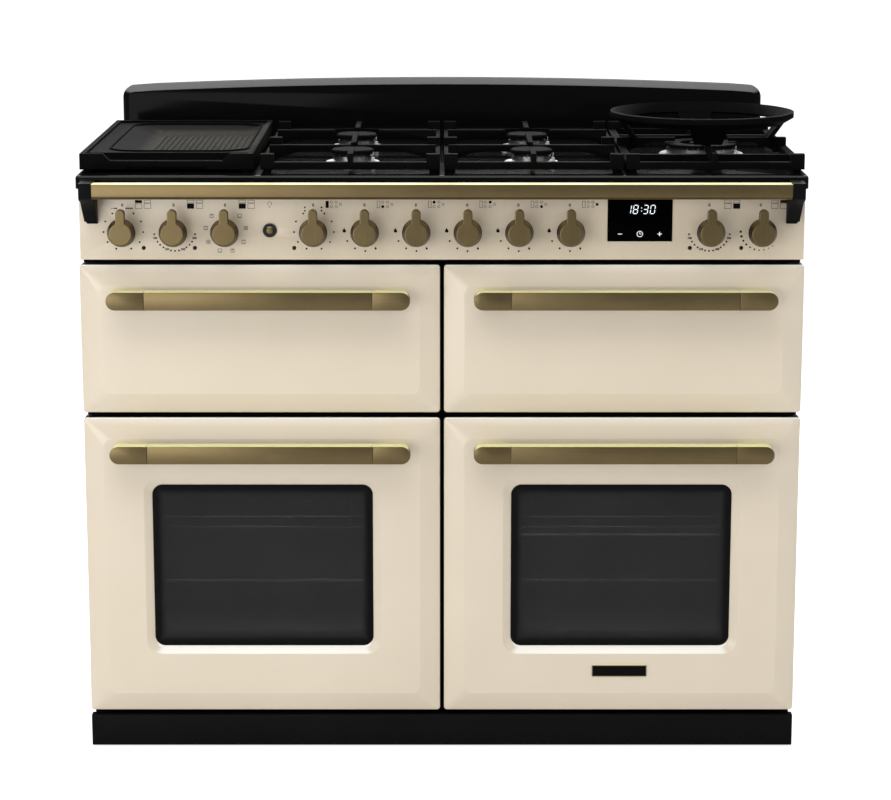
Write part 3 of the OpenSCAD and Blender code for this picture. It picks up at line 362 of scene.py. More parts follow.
# %% Brass
def antique_brass(name, along, top_highlight, side_shade, matt):
    metal = Finish(name, IOR=1.5)
    scratches = metal.noise(1.0, 3.0, 0.65, along)
    patina = metal.noise(16.0, 4.0, 0.6)
    tone = (scratches - 0.5) * 0.8 + 0.15 + 0.7 * patina
    ahead, height = metal.axis(1, "Normal"), metal.axis(2, "Normal")
    # Faces that look up are picked for a pale painted highlight, and faces that look down for a darker painted
    # shade.
    lit_top, shaded_under = height.above(0.62, 0.22), (0.0 - height).above(0.45, 0.2)
    aged_and_shaded = metal.blend(tone, (0.138, 0.100, 0.046), (0.220, 0.168, 0.084))
    # Faces turned sideways are blended to a darker brown: painted shade on the sides of the turned knobs and the
    # ends of the handles.
    shaded_side = ahead.size().above(0.70, 0.12)
    aged_and_shaded = metal.blend(shaded_side, side_shade, aged_and_shaded)
    metal.set(Base_Color=metal.blend(lit_top, metal.blend(shaded_under, aged_and_shaded, (0.10, 0.068, 0.028)), top_highlight))
    metal.set(Roughness=0.19 + 0.14 * scratches + 0.06 * patina + 0.10 * lit_top + 0.08 * shaded_side)
    metal.set(Metallic=1.0 - matt * lit_top)
    metal.bump(scratches, 0.00005, 0.35)
    return metal.material


# The last three values are the painted highlight on faces that look up, the painted shade on the sides, and how
# matt the highlight is.
finishes["antique_brass"] = antique_brass("antique_brass_brushed", (22.0, 1400.0, 1400.0),
                                          (0.99, 0.96, 0.46), (0.138, 0.100, 0.046), 0.95)
finishes["antique_brass_post"] = antique_brass("antique_brass_upright", (1100.0, 1100.0, 26.0),
                                               (0.30, 0.22, 0.11), (0.046, 0.029, 0.011), 0.0)

# %% [markdown]
# ## Cast iron, paint and plain metals
# The pan supports and the griddle are cast iron under a matt enamel: the sand of the mould leaves a fine
# grain. The ribbed part of the griddle's bowl is seasoned, so it has a warmer and paler speckle. The
# supports behind the ovens are ordinary plated sheet, with the crystal pattern that zinc leaves.

# %% Metals and paint
def cast_iron(name, bowl=None):
    cast = Finish(name, IOR=1.48, Specular_IOR_Level=0.012)
    sand = cast.noise(850.0, 3.0, 0.6)
    patch = cast.noise(22.0, 3.0)
    colour = cast.blend(patch, (0.0030, 0.0029, 0.0028), (0.0060, 0.0058, 0.0056))
    if bowl:
        seasoned = cast.blend(sand.above(0.56, 0.16), (0.012, 0.011, 0.009), (0.088, 0.080, 0.063))
        across, along = cast.axis(0) - bowl[0] * MM, cast.axis(1) - DOOR_PLANE - bowl[1] * MM
        beyond = (across.size() - bowl[2] * MM).larger(along.size() - bowl[3] * MM)
        colour = cast.blend(beyond.above(-0.012, 0.010), seasoned, colour)
    cast.set(Base_Color=colour, Roughness=0.48 + 0.20 * sand + 0.06 * patch)
    cast.bump(sand, 0.00022, 0.45)
    return cast.material


low, high = local_box("griddle")
bowl = ((low.x + high.x) / 2 + 34, (low.y + high.y) / 2 + 30, 104, 172)
finishes["cast_black"] = cast_iron("matt_cast_iron")
finishes["cast_seasoned"] = cast_iron("seasoned_cast_iron", bowl)

satin = Finish("satin_black_paint", IOR=1.48, Specular_IOR_Level=0.03)
mottle = satin.noise(620.0, 2.0)
satin.set(Base_Color=satin.blend(satin.noise(12.0, 3.0), (0.0048, 0.0048, 0.0050), (0.0078, 0.0078, 0.0081)))
satin.set(Roughness=0.40 + 0.10 * mottle)
satin.bump(mottle, 0.00005, 0.35)
finishes["satin_black"] = satin.material

zinc = Finish("plated_sheet", Metallic=1.0)
crystals = zinc.node("TexVoronoi", {"feature": "F1"}, {"Vector": zinc.place, "Scale": 70.0}, out=1)
cell = zinc.node("SeparateColor", None, {"Color": crystals})
zinc.set(Base_Color=zinc.blend(cell, (0.40, 0.41, 0.42), (0.56, 0.57, 0.58)), Roughness=0.30 + 0.16 * cell)
finishes["galvanised"] = zinc.material

alloy = Finish("bare_burner_alloy", Metallic=1.0)
tooling = alloy.noise(1.0, 2.0, 0.6, (90.0, 90.0, 2600.0))
heat = alloy.noise(60.0, 3.0)
alloy.set(Base_Color=alloy.blend(heat, (0.36, 0.35, 0.34), (0.62, 0.61, 0.60)))
alloy.set(Roughness=0.24 + 0.16 * tooling)
alloy.bump(tooling, 0.00004, 0.4)
finishes["burner_alloy"] = alloy.material

print("finishes", len(finishes))

# %% [markdown]
# ## Oven glass
# An oven pane has a black border baked on to it, which hides the seal and the edge of the liner, and a
# tinted middle. The middle lets a little of the inside through, so it gets an alpha below one, while the
# border stays solid. The border is drawn as a distance from the middle of each window, worked out from the
# place itself, and fades inwards over a finger's width: no picture is needed.

# %% Glass with a printed border
def oven_glass():
    glass = Finish("oven_glass_printed", IOR=1.5, Specular_IOR_Level=0.10)
    pane = middle("door_glass_left") * MM
    beyond_x = (glass.axis(0).size() - abs(pane.x)).size() - (WINDOW_W / 2 - PRINT_W) * MM
    beyond_z = (glass.axis(2) - pane.z).size() - (WINDOW_H / 2 - PRINT_W) * MM
    printed = beyond_x.larger(beyond_z).above(-FADE * MM / 2, FADE * MM / 2)
    smear = glass.noise(11.0, 4.0)
    tint = glass.blend(smear, (0.028, 0.028, 0.030), (0.040, 0.040, 0.042))
    glass.set(Base_Color=glass.blend(printed, tint, (0.002, 0.002, 0.002)))
    glass.set(Alpha=0.50 + 0.50 * printed)
    glass.set(Roughness=0.035 + 0.03 * smear)
    return glass.material


WINDOW_W, WINDOW_H, PRINT_W, FADE = 340, 258, 7, 13
finishes["dark_glass"] = oven_glass()

cover = Finish("clock_cover", IOR=1.5, Specular_IOR_Level=0.01)
veil = cover.noise(14.0, 3.0)
cover.set(Base_Color=cover.blend(veil, (0.0003, 0.0003, 0.0003), (0.0008, 0.0008, 0.0009)))
cover.set(Roughness=0.05 + 0.04 * veil)
finishes["display_glass"] = cover.material

# %% [markdown]
# ## Wire, plastic, ink, lamps, rubber and ceramic
# These finishes need one noise each. Chromed wire is a mirror with the faintest waviness. The small marks
# on the panel are screen-printed ink, which sits a hair above the enamel and is duller than it. The clock's
# digits glow. The door seals are silicone rubber, and the spark pins stand in glazed ceramic collars.

# %% Small finishes
def speckled(name, low, high, grain, rough, bump=None, **sockets):
    """A finish that one noise drives: its scale and detail, the least roughness and how much it adds."""
    made = Finish(name, **sockets)
    speck = made.noise(*grain)
    made.set(Base_Color=made.blend(speck, low, high), Roughness=rough[0] + rough[1] * speck)
    if bump:
        made.bump(speck, *bump)
    return made.material


finishes["bright_wire"] = speckled("chromed_wire", (0.58, 0.585, 0.60), (0.72, 0.725, 0.74), (240, 2),
                                   (0.12, 0.10), Metallic=1.0)
finishes["black_plastic"] = speckled("moulded_black_plastic", (0.010, 0.010, 0.010), (0.018, 0.018, 0.018),
                                     (700, 2), (0.42, 0.14), (0.00006, 0.4), IOR=1.46, Specular_IOR_Level=0.3)
finishes["ink"] = speckled("printed_ink", (0.002, 0.002, 0.002), (0.008, 0.008, 0.008), (900, 3),
                           (0.5, 0.12), (0.00001, 0.3), Specular_IOR_Level=0.05)
finishes["ink_soft"] = speckled("printed_ink_fine", (0.045, 0.042, 0.036), (0.075, 0.070, 0.060), (900, 3),
                                (0.5, 0.12), (0.00001, 0.3), Specular_IOR_Level=0.05)
finishes["rubber"] = speckled("silicone_seal", (0.020, 0.020, 0.021), (0.034, 0.034, 0.035), (500, 3),
                              (0.55, 0.12), (0.00008, 0.3))
finishes["ceramic"] = speckled("glazed_ceramic", (0.62, 0.60, 0.55), (0.74, 0.72, 0.67), (300, 3),
                               (0.18, 0.12), (0.00003, 0.3), Coat_Weight=0.4)
finishes["lens"] = speckled("lamp_lens", (0.0015, 0.0015, 0.0018), (0.004, 0.0038, 0.004), (240, 3),
                            (0.08, 0.12), (0.00002, 0.3), Specular_IOR_Level=0.3)
finishes["lamp_glass"] = speckled("oven_lamp_glass", (0.30, 0.29, 0.26), (0.42, 0.41, 0.38), (60, 3),
                                  (0.12, 0.12), (0.00006, 0.3), Coat_Weight=0.5)
glow = Finish("clock_digits", Roughness=0.4)
flicker = glow.noise(260.0, 1.0)
lit = glow.blend(flicker, (0.72, 0.78, 0.84), (0.86, 0.91, 0.96))
glow.set(Base_Color=lit, Emission_Color=lit, Emission_Strength=0.75)
finishes["digits"] = glow.material
print("all finishes", len(finishes))

# %% [markdown]
# ## Three ways of taking over a solid
# Most solids keep their shape and only need a finish: `dress` gives it to them. Others have edges that are
# too sharp for a pressing or a casting, so `eased` makes a copy, joins its loose triangles, clears the flat
# faces of their extra edges, rounds what is left with a bevel and puts the copy in the solid's place. A
# third kind is built afresh, and `stand_for` lets such a piece take over.

# %% Helpers for pieces
def tube(work, rings, closed=False):
    """Quads between neighbouring rings of points; the last ring meets the first, or both ends get a face."""
    loops = [[work.verts.new(p) for p in points] for points in rings]
    for near, far in list(zip(loops, loops[1:])) + ([(loops[-1], loops[0])] if closed else []):
        for k in range(len(near)):
            n = (k + 1) % len(near)
            work.faces.new((near[k], near[n], far[n], far[k]))
    if not closed:
        work.faces.new(loops[-1])
        work.faces.new(list(reversed(loops[0])))


def shed(work, name, outward=True):
    """Turn the faces outward, and hand the work over as a mesh."""
    if outward:
        bmesh.ops.recalc_face_normals(work, faces=work.faces)
    mesh = bpy.data.meshes.new(name)
    work.to_mesh(mesh)
    work.free()
    return mesh


def bench(data, name="bench"):
    """A helper object, in the scene only until its mesh has been worked out."""
    helper = bpy.data.objects.new(name, data)
    bpy.context.scene.collection.objects.link(helper)
    return helper


def worked_out(*helpers):
    """The first helper's mesh with its modifiers applied. All the helpers are then cleared away."""
    graph = bpy.context.evaluated_depsgraph_get()
    result = bpy.data.meshes.new_from_object(helpers[0].evaluated_get(graph))
    helpers[0].modifiers.clear()
    for helper in helpers:
        bpy.data.objects.remove(helper)
    return result


def link(name, mesh, finish, body, smooth=math.radians(32)):
    piece = bpy.data.objects.new(name, mesh)
    bpy.context.scene.collection.objects.link(piece)
    mesh.materials.clear()
    mesh.materials.append(finishes[finish])
    mesh.shade_smooth()
    mesh.set_sharp_from_angle(angle=smooth)
    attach(piece, body)
    return piece


def dress(node, finish=None):
    mesh = frame["nodes"][node].data
    mesh.materials.clear()
    mesh.materials.append(finishes[finish or slot_of[node]])


def stand_for(name, mesh, node, finish=None, smooth=math.radians(32)):
    piece = link(name, mesh, finish or slot_of[node], body_of[node], smooth)
    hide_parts(node)
    return piece


def bevelled(mesh, width, steps, corner):
    helper = bench(mesh)
    bevel = helper.modifiers.new("ease", "BEVEL")
    bevel.width = width * MM
    bevel.segments = steps
    bevel.limit_method = "ANGLE"
    bevel.angle_limit = math.radians(corner)
    bevel.use_clamp_overlap = True
    bevel.harden_normals = False
    return worked_out(helper)


def eased(node, width, steps=2, corner=40, finish=None):
    work = bmesh.new()
    work.from_mesh(frame["nodes"][node].data)
    bmesh.ops.remove_doubles(work, verts=work.verts, dist=1e-6)
    bmesh.ops.dissolve_limit(work, angle_limit=math.radians(0.6), verts=work.verts, edges=work.edges)
    mesh = shed(work, node + "_eased", outward=False)
    return stand_for(node + "_finished", bevelled(mesh, width, steps, corner), node, finish)


print("helpers ready")

# %% [markdown]
# ## Pressed fronts
# A door front is one sheet, pressed so that a flat field stands forward of a sloping border. On the real
# press tool no edge is sharp: each turn has its own radius. The way to build that is a stack of rings, each
# a rounded rectangle at its own depth, with quads strung between them. The rings that turn a corner are
# close together, so the shading runs round it, and the oven doors carry on inwards to the window's rim.
# Two notches in each door's lower edge let the hinge ears of the frame through when the door drops.

# %% Rings of a pressed sheet
CORNER_STEPS = 10
SIDE_STEPS = 6


def ring(cx, cz, w, h, r, y):
    points = []
    for corner in range(4):
        sx, sz = ((1, 1), (-1, 1), (-1, -1), (1, -1))[corner]
        ox, oz = cx + sx * (w / 2 - r), cz + sz * (h / 2 - r)
        for step in range(CORNER_STEPS + 1):
            turn = math.radians(90 * corner + 90 * step / CORNER_STEPS)
            points.append((ox + r * math.cos(turn), oz + r * math.sin(turn)))
        start = points[-1]
        end = (start[0], cz - sz * (h / 2 - r)) if corner % 2 else (cx - sx * (w / 2 - r), start[1])
        for step in range(1, SIDE_STEPS):
            t = step / SIDE_STEPS
            points.append((start[0] + (end[0] - start[0]) * t, start[1] + (end[1] - start[1]) * t))
    return [at(x, y, z) for x, z in points]


def flat_ring(cx, cy, w, d, r, z):
    return [at(p.x / MM, p.z / MM, z) for p in ring(cx, cy, w, d, r, 0)]


def strung(rings, closed=False):
    work = bmesh.new()
    tube(work, rings, closed)
    return shed(work, "strung")


def rounding(inset, y, radius, turn_from, turn_to, steps=5):
    """Pairs of (inset, y) along an arc, which is how a press radius looks in section."""
    pairs = []
    for step in range(steps + 1):
        turn = math.radians(turn_from + (turn_to - turn_from) * step / steps)
        pairs.append((inset + radius * math.cos(turn), y + radius * math.sin(turn)))
    return pairs


BEVEL_W, FIELD_OUT, FRONT_D, FIELD_R, FRONT_R = 31, 12, 26, 14, 5
print("points in a ring", len(ring(0, 0, 100, 60, 5, 0)))

# %% [markdown]
# ## The section of a front
# From the back edge the sheet comes forward, turns through a small radius at the outer edge, climbs the
# slope, and turns again, more gently, on to the field. `section` lists that path as pairs of inset and
# depth. The corner radius grows from the outer corner to the field's corner at the same rate as the inset.

# %% Door and drawer fronts
def section():
    slope = math.degrees(math.atan2(FIELD_OUT, BEVEL_W))
    edge_r, field_r = 3.0, 3.5
    path = [(0, FRONT_D - 0.2), (0, 12), (0, edge_r + 1)]
    path += rounding(edge_r, edge_r - 0.1, edge_r, 180, 270 - slope, 5)
    run = field_r * math.tan(math.radians(slope / 2))
    path.append((BEVEL_W * 0.45, -FIELD_OUT * 0.45))
    return path + rounding(BEVEL_W + run, field_r - FIELD_OUT, field_r, 270 - slope, 270, 4)


def front_rings(cx, cz, w, h):
    rings = []
    for inset, y in section():
        share = min(max(inset / BEVEL_W, 0), 1)
        radius = FRONT_R + (FIELD_R - FRONT_R) * share
        rings.append(ring(cx, cz, w - 2 * inset, h - 2 * inset, radius, y))
    return rings


def front_size(node):
    (low, high), centre = local_box(node), middle(node)
    return centre.x, centre.z, high.x - low.x, high.z - low.z


def window_rings(cx, cz):
    path = rounding(RIM_W + 3.0, 3.0 - FIELD_OUT, 3.0, 270, 317, 4)
    path = [(RIM_W + 3.0 - (x - RIM_W - 3.0), y) for x, y in path]
    path += [(3.0, RIM_D * 0.55 - FIELD_OUT), (0.7, RIM_D - 0.8 - FIELD_OUT), (0.0, RIM_D - FIELD_OUT)]
    return [ring(cx, cz, WINDOW_W + 2 * g, WINDOW_H + 2 * g, 16 + g * 0.6, y) for g, y in path]


def notched(mesh, places, size):
    """Cut a box out of a mesh at each place, for a part that passes through it."""
    work = bmesh.new()
    for place in places:
        made = bmesh.ops.create_cube(work, size=1.0)
        for vert in made["verts"]:
            vert.co = place + Vector(c * s * MM for c, s in zip(vert.co, size))
    sheet, tool = bench(mesh), bench(shed(work, "notches", outward=False))
    cut = sheet.modifiers.new("cut", "BOOLEAN")
    cut.operation, cut.solver, cut.object = "DIFFERENCE", "EXACT", tool
    return worked_out(sheet, tool)


RIM_W, RIM_D = 10, 6.5
HINGE_X, EAR_SLOT, RETURN_Y = 200, 10, 2.7
inside_y = 2.0 - FIELD_OUT
glass_z = middle("door_glass_left").z
for side in ("left", "right"):
    node = f"door_shell_{side}"
    cx, cz, w, h = front_size(node)
    rings = front_rings(cx, cz, w, h)
    rings += window_rings(cx, glass_z)
    rings += [ring(cx, glass_z, WINDOW_W + 1, WINDOW_H + 1, 16, RIM_D - FIELD_OUT + 0.15),
              ring(cx, glass_z, WINDOW_W + 24, WINDOW_H + 24, 20, inside_y + 1.2),
              ring(cx, cz, w - 70, h - 70, 12, inside_y + 0.6), ring(cx, cz, w - 5, h - 5, 4, 3.0),
              ring(cx, cz, w - 4, h - 4, 4, FRONT_D - 0.2)]
    depth = FRONT_D + 4 - RETURN_Y
    ears = [at(cx + c * HINGE_X, RETURN_Y + depth / 2, cz - h / 2) for c in (-1, 1)]
    front = notched(strung(rings, closed=True), ears, (EAR_SLOT, depth, 12))
    stand_for(f"oven_door_front_{side}", front, node, smooth=math.radians(48))
for node, name in (("grill_front", "grill_drawer_front"), ("drawer_front", "proving_drawer_front")):
    cx, cz, w, h = front_size(node)
    rings = front_rings(cx, cz, w, h)
    rings.insert(0, ring(cx, cz, w - 2, h - 2, FRONT_R, FRONT_D + 2))
    rings.insert(1, ring(cx, cz, w - 2, h - 2, FRONT_R, FRONT_D))
    stand_for(name, strung(rings), node, smooth=math.radians(48))
print("fronts", w, h)

# %% [markdown]
# ## Handles
# Each handle is a solid brass bar with half-round ends, carried on a block at either end. It is made in
# three lengths, and the fine joint lines between them show. A bar is a stack of rings again: the outline
# seen from the front is drawn once, and every ring repeats it at another depth, drawn in a little at the
# front and the back so that the edges are eased. A smaller post behind each end reaches back to the door.

# %% Handle bars
HANDLE_L, HANDLE_H, HANDLE_FACE, HANDLE_T, BLOCK_L, POST_IN = 457, 27.6, -56, 24, 57, 4.6


def outline(x0, x1, h, round_left, round_right, inset):
    r = h / 2 - inset
    points = []
    if round_right:
        points += [(x1 - h / 2 + r * math.cos(math.radians(a)), r * math.sin(math.radians(a)))
                   for a in range(-90, 91, 9)]
    else:
        points += [(x1 - inset, -r), (x1 - inset, r)]
    if round_left:
        points += [(x0 + h / 2 + r * math.cos(math.radians(a)), r * math.sin(math.radians(a)))
                   for a in range(90, 271, 9)]
    else:
        points += [(x0 + inset, r), (x0 + inset, -r)]
    return points


def bar(work, cx, cz, x0, x1, h, y0, y1, round_left, round_right, ease):
    depths = [(ease, y0), (ease * 0.3, y0 + ease * 0.3), (0, y0 + ease),
              (0, y1 - ease), (ease * 0.3, y1 - ease * 0.3), (ease, y1)]
    tube(work, [[at(cx + x, y, cz + z) for x, z in outline(x0, x1, h, round_left, round_right, inset)]
                for inset, y in depths])


def handle_mesh(cx, cz):
    work = bmesh.new()
    half, joint, back = HANDLE_L / 2, HANDLE_L / 2 - BLOCK_L, HANDLE_FACE + HANDLE_T
    bar(work, cx, cz, -joint + 0.2, joint - 0.2, HANDLE_H, HANDLE_FACE, back, False, False, 0.9)
    bar(work, cx, cz, -half, -joint - 0.2, HANDLE_H, HANDLE_FACE, back, True, False, 0.9)
    bar(work, cx, cz, joint + 0.2, half, HANDLE_H, HANDLE_FACE, back, False, True, 0.9)
    bar(work, cx, cz, -joint - 2, joint + 2, HANDLE_H - 2.6, HANDLE_FACE + 1.4, back - 1.4, False, False, 0.4)
    for x0, x1 in ((-half, -joint), (joint, half)):
        bar(work, cx, cz, x0 + POST_IN, x1 - POST_IN, HANDLE_H - 2 * POST_IN, back - 1, -FIELD_OUT - 0.05,
            True, True, 0.6)
    return shed(work, "handle")


for node in ("grill_handle", "drawer_handle", "door_handle_left", "door_handle_right"):
    centre = middle(node)
    stand_for(node + "_bar", handle_mesh(centre.x, centre.z), node)
print("handles at", round(centre.x), round(centre.z))

# %% [markdown]
# ## The handrail
# The rail along the top is one long bar of the same brass, square at its ends, held by a black bracket at
# each side. Easing its long edges by a millimetre is what lets the lamps draw a bright line along them.

# %% Handrail and its brackets
eased("handrail_bar", 1.0, 3)
eased("handrail_brackets", 2.2, 3)
eased("light_button", 2.6, 4)

# %% [markdown]
# ## Knobs
# A knob is a turned brass cup on a narrower stem, which tapers forward to a flat face, with a lever that
# rises from the rim like the bow of a key. The face of the disc and the face of the lever are one plane, so
# they are one keyhole outline, raised as a plate; the turned cup stands behind it and shows as a dark edge.
# The plate and the cup are both stacks of rings, one of a keyhole and one of circles.

# %% Knob shapes
KNOB_FACE_R, KNOB_RIM_R, KNOB_OUT, LEVER_HALF, LEVER_TOP, LEVER_T = 17.2, 21.4, 44, 7.0, 37.0, 11


def keyhole(inset):
    r, half = KNOB_FACE_R - inset, LEVER_HALF - inset
    meet = math.degrees(math.asin(half / r))
    points = []
    for k in range(49):
        turn = math.radians(90 + meet + (360 - 2 * meet) * k / 48)
        points.append((r * math.cos(turn), r * math.sin(turn)))
    for k in range(17):
        turn = math.radians(180 * k / 16)
        points.append((half * math.cos(turn), LEVER_TOP - LEVER_HALF + half * math.sin(turn)))
    return points


def circle_ring(cx, cz, r, y, count=56):
    return [at(cx + r * math.cos(2 * math.pi * k / count), y, cz + r * math.sin(2 * math.pi * k / count))
            for k in range(count)]


def knob_mesh(cx, cz):
    work = bmesh.new()
    plate = [(1.7, -KNOB_OUT), (0.9, -KNOB_OUT), (0.25, -KNOB_OUT + 0.25), (0, -KNOB_OUT + 0.9),
             (0, -KNOB_OUT + LEVER_T - 0.6), (0.6, -KNOB_OUT + LEVER_T)]
    tube(work, [[at(cx + x, y, cz + z) for x, z in keyhole(inset)] for inset, y in plate])
    foot = [(13.0, -KNOB_OUT + 0.7), (KNOB_FACE_R - 0.3, -KNOB_OUT + 0.7),
            (KNOB_FACE_R + 0.4, -KNOB_OUT + 1.2), (KNOB_FACE_R + 0.9, -KNOB_OUT + 2.4), (20.3, -30.8),
            (20.8, -29.6), (KNOB_RIM_R, -28.6), (KNOB_RIM_R, -26.6), (20.6, -25.9), (16.3, -21.4),
            (15.5, -20.4), (15.5, -1.9), (14.9, -1.3)]
    tube(work, [circle_ring(cx, cz, r, y) for r, y in foot])
    tube(work, [circle_ring(cx, cz, 3.0, y, 20) for y in (-1.6, 18.0)])
    return shed(work, "knob")


for number, place in sorted(knob_places.items()):
    stand_for(f"knob_{number}_turned", knob_mesh(place.x, place.z), f"knob_{number}",
              "antique_brass_post", smooth=math.radians(30))
print("knobs", len(knob_places))

# %% [markdown]
# ## Marks on the panel
# Round every knob there is a scale of dots, and beside it a small map that says which oven or burner it
# serves. The dots repeat by rule, so Geometry Nodes make them: an arc of points, a disc on each, and the
# result made real. The tree's inputs carry the arc's radius, its start and sweep, the number of dots and
# their size, and one tree serves all eleven knobs.

# %% A node tree for an arc of dots
def socket_id(tree, name):
    return next(i.identifier for i in tree.interface.items_tree if i.name == name)


def grower(name, inputs, parts, wires):
    """A Geometry Nodes tree from its inputs, its nodes with their fixed values, and its wires."""
    tree = bpy.data.node_groups.new(name, "GeometryNodeTree")
    tree.interface.new_socket("Geometry", in_out="OUTPUT", socket_type="NodeSocketGeometry")
    for label, kind in inputs:
        tree.interface.new_socket(label, in_out="INPUT", socket_type="NodeSocket" + kind)
    nodes = {"given": tree.nodes.new("NodeGroupInput"), "result": tree.nodes.new("NodeGroupOutput")}
    for label, kind, fixed in parts + [("real", "GeometryNodeRealizeInstances", {}),
                                       ("coat", "GeometryNodeSetMaterial", {})]:
        nodes[label] = tree.nodes.new(kind)
        for key, value in fixed.items():
            if key == "operation":
                nodes[label].operation = value
            else:
                nodes[label].inputs[key].default_value = value
    last = [("real", "Geometry", "coat", "Geometry"), ("given", inputs[-1][0], "coat", "Material"),
            ("coat", "Geometry", "result", "Geometry")]
    for source, out, target, into in wires + last:
        tree.links.new(nodes[source].outputs[out], nodes[target].inputs[into])
    return tree


UPRIGHT = math.radians(90)
DISC_T = 0.00016
dots = grower(
    "dial_dots",
    [("Count", "Int"), ("Radius", "Float"), ("Start", "Float"), ("Sweep", "Float"), ("Dot", "Float"),
     ("Dial", "Vector"), ("Ink", "Material")],
    [("arc", "GeometryNodeCurveArc", {}),
     ("turn", "GeometryNodeTransform", {"Rotation": (UPRIGHT, 0, 0)}),
     ("points", "GeometryNodeCurveToPoints", {}),
     ("disc", "GeometryNodeMeshCylinder", {"Vertices": 12, "Depth": DISC_T}),
     ("lay", "GeometryNodeTransform", {"Rotation": (UPRIGHT, 0, 0)}),
     ("copies", "GeometryNodeInstanceOnPoints", {}), ("move", "GeometryNodeTransform", {})],
    [("given", "Count", "arc", "Resolution"), ("given", "Radius", "arc", "Radius"),
     ("given", "Start", "arc", "Start Angle"), ("given", "Sweep", "arc", "Sweep Angle"),
     ("arc", "Curve", "turn", "Geometry"), ("turn", "Geometry", "points", "Curve"),
     ("given", "Count", "points", "Count"), ("given", "Dot", "disc", "Radius"),
     ("disc", "Mesh", "lay", "Geometry"), ("points", "Points", "copies", "Points"),
     ("lay", "Geometry", "copies", "Instance"), ("copies", "Instances", "move", "Geometry"),
     ("given", "Dial", "move", "Translation"), ("move", "Geometry", "real", "Geometry")])


def grown(tree, values, name):
    """Run a tree once with these inputs, and hand back what it made as a plain mesh."""
    helper = bench(bpy.data.meshes.new(name), name)
    modifier = helper.modifiers.new("grow", "NODES")
    modifier.node_group = tree
    for key, value in values.items():
        modifier[socket_id(tree, key)] = value
    return worked_out(helper)


def joined(meshes, name):
    work = bmesh.new()
    for mesh in meshes:
        work.from_mesh(mesh)
    return shed(work, name, outward=False)


PRINT_Y = -0.08
# Each arc is a number of dots, a radius, a start, a sweep and a dot's radius: anticlockwise from three
# o'clock, as seen from the front. The oven dials leave out every fourth dot, where a number stands.
minutes = [(5, 30.2, 122, 126, 1.45), (5, 30.2, 292, 126, 1.45)]
degrees = [(2, 31.4, 191, 158, 1.45)] + [(3, 31.4, start, 22.6, 1.45) for start in (213.6, 258.7, 303.9)]
dot_arcs = {1: minutes, 2: degrees, 3: [], 4: minutes, 10: degrees,
            11: [(2, 30.3, 184 + 27.6 * k, 13.8, 1.9 - 0.26 * k) for k in range(5)]}
for number in (5, 6, 7, 8, 9):
    dot_arcs[number] = [(3, 31.7, 211, 59, 1.5)]
arc_meshes = []
for number, arcs in dot_arcs.items():
    for count, reach, start, sweep, dot in arcs:
        values = {"Count": count, "Radius": reach * MM, "Start": math.radians(start),
                  "Sweep": math.radians(sweep), "Dot": dot * MM,
                  "Dial": at(knob_places[number].x, PRINT_Y, KNOB_Z), "Ink": finishes["ink"]}
        arc_meshes.append(grown(dots, values, "arc"))
link("dial_dots", joined(arc_meshes, "dial_dots"), "ink", "cabinet")
print("arcs", len(arc_meshes))

# %% [markdown]
# ## Maps, flames and numbers
# The rest of the print is not a pattern, so it is drawn shape by shape: `Print` gathers flat outlines and
# gives each a hair of thickness. An oven map is a frame of two columns and two rows with one cell filled.
# A hob map is the griddle's bar and five circles with one filled. The numbers are plain numbers.

# %% A pen for small flat shapes
class Print:
    def __init__(self, y, thick=0.08):
        self.work, self.y, self.thick = bmesh.new(), y, thick

    def shape(self, points):
        front = [self.work.verts.new(at(x, self.y, z)) for x, z in points]
        back = [self.work.verts.new(at(x, self.y + self.thick, z)) for x, z in points]
        self.work.faces.new(front)
        self.work.faces.new(list(reversed(back)))
        for k in range(len(points)):
            n = (k + 1) % len(points)
            self.work.faces.new((front[k], back[k], back[n], front[n]))

    def box(self, x, z, w, h):
        self.shape([(x + a * w / 2, z + b * h / 2) for a, b in ((-1, -1), (1, -1), (1, 1), (-1, 1))])

    def frame(self, x, z, w, h, t):
        for end in (1, -1):
            self.box(x, z + end * (h - t) / 2, w, t)
        for end in (-1, 1):
            self.box(x + end * (w - t) / 2, z, t, h - 2 * t)

    def disc(self, x, z, r, count=14):
        turns = [2 * math.pi * k / count for k in range(count)]
        self.shape([(x + r * math.cos(a), z + r * math.sin(a)) for a in turns])

    def hoop(self, x, z, r, t, count=14, start=0, sweep=360):
        for k in range(count):
            a, b = (math.radians(start + sweep * (k + d) / count) for d in (0, 1))
            self.shape([(x + s * math.cos(u), z + s * math.sin(u))
                        for s, u in ((r - t, a), (r, a), (r, b), (r - t, b))])

    def line(self, x0, z0, x1, z1, t):
        run = math.hypot(x1 - x0, z1 - z0)
        nx, nz = -(z1 - z0) / run * t / 2, (x1 - x0) / run * t / 2
        self.shape([(x0 + nx, z0 + nz), (x0 - nx, z0 - nz), (x1 - nx, z1 - nz), (x1 + nx, z1 + nz)])

    def flame(self, x, z, h):
        side = [(0, 0), (0.30, 0.10), (0.36, 0.34), (0.22, 0.58), (0.10, 0.72), (0.02, 1.0)]
        other = [(-0.10, 0.80), (-0.24, 0.62), (-0.36, 0.40), (-0.30, 0.12)]
        self.shape([(x + a * h, z + b * h - h / 2) for a, b in side + other])

    def digit(self, text, x, z, size):
        """A number from the built-in plain font, made a mesh and laid on the panel."""
        data = bpy.data.curves.new("number", "FONT")
        data.body, data.size, data.align_x, data.align_y = text, size * 1.4 * MM, "CENTER", "CENTER"
        data.extrude, data.offset = self.thick * MM / 2, 0.22 * MM
        mesh = worked_out(bench(data, "number"))
        for vert in mesh.vertices:
            vert.co = at(x, self.y + self.thick / 2, z) + Vector((vert.co.x, -vert.co.z, vert.co.y))
        self.work.from_mesh(mesh)

    def lay(self, name, finish, body="cabinet"):
        return link(name, shed(self.work, name), finish, body)


print("pen ready")

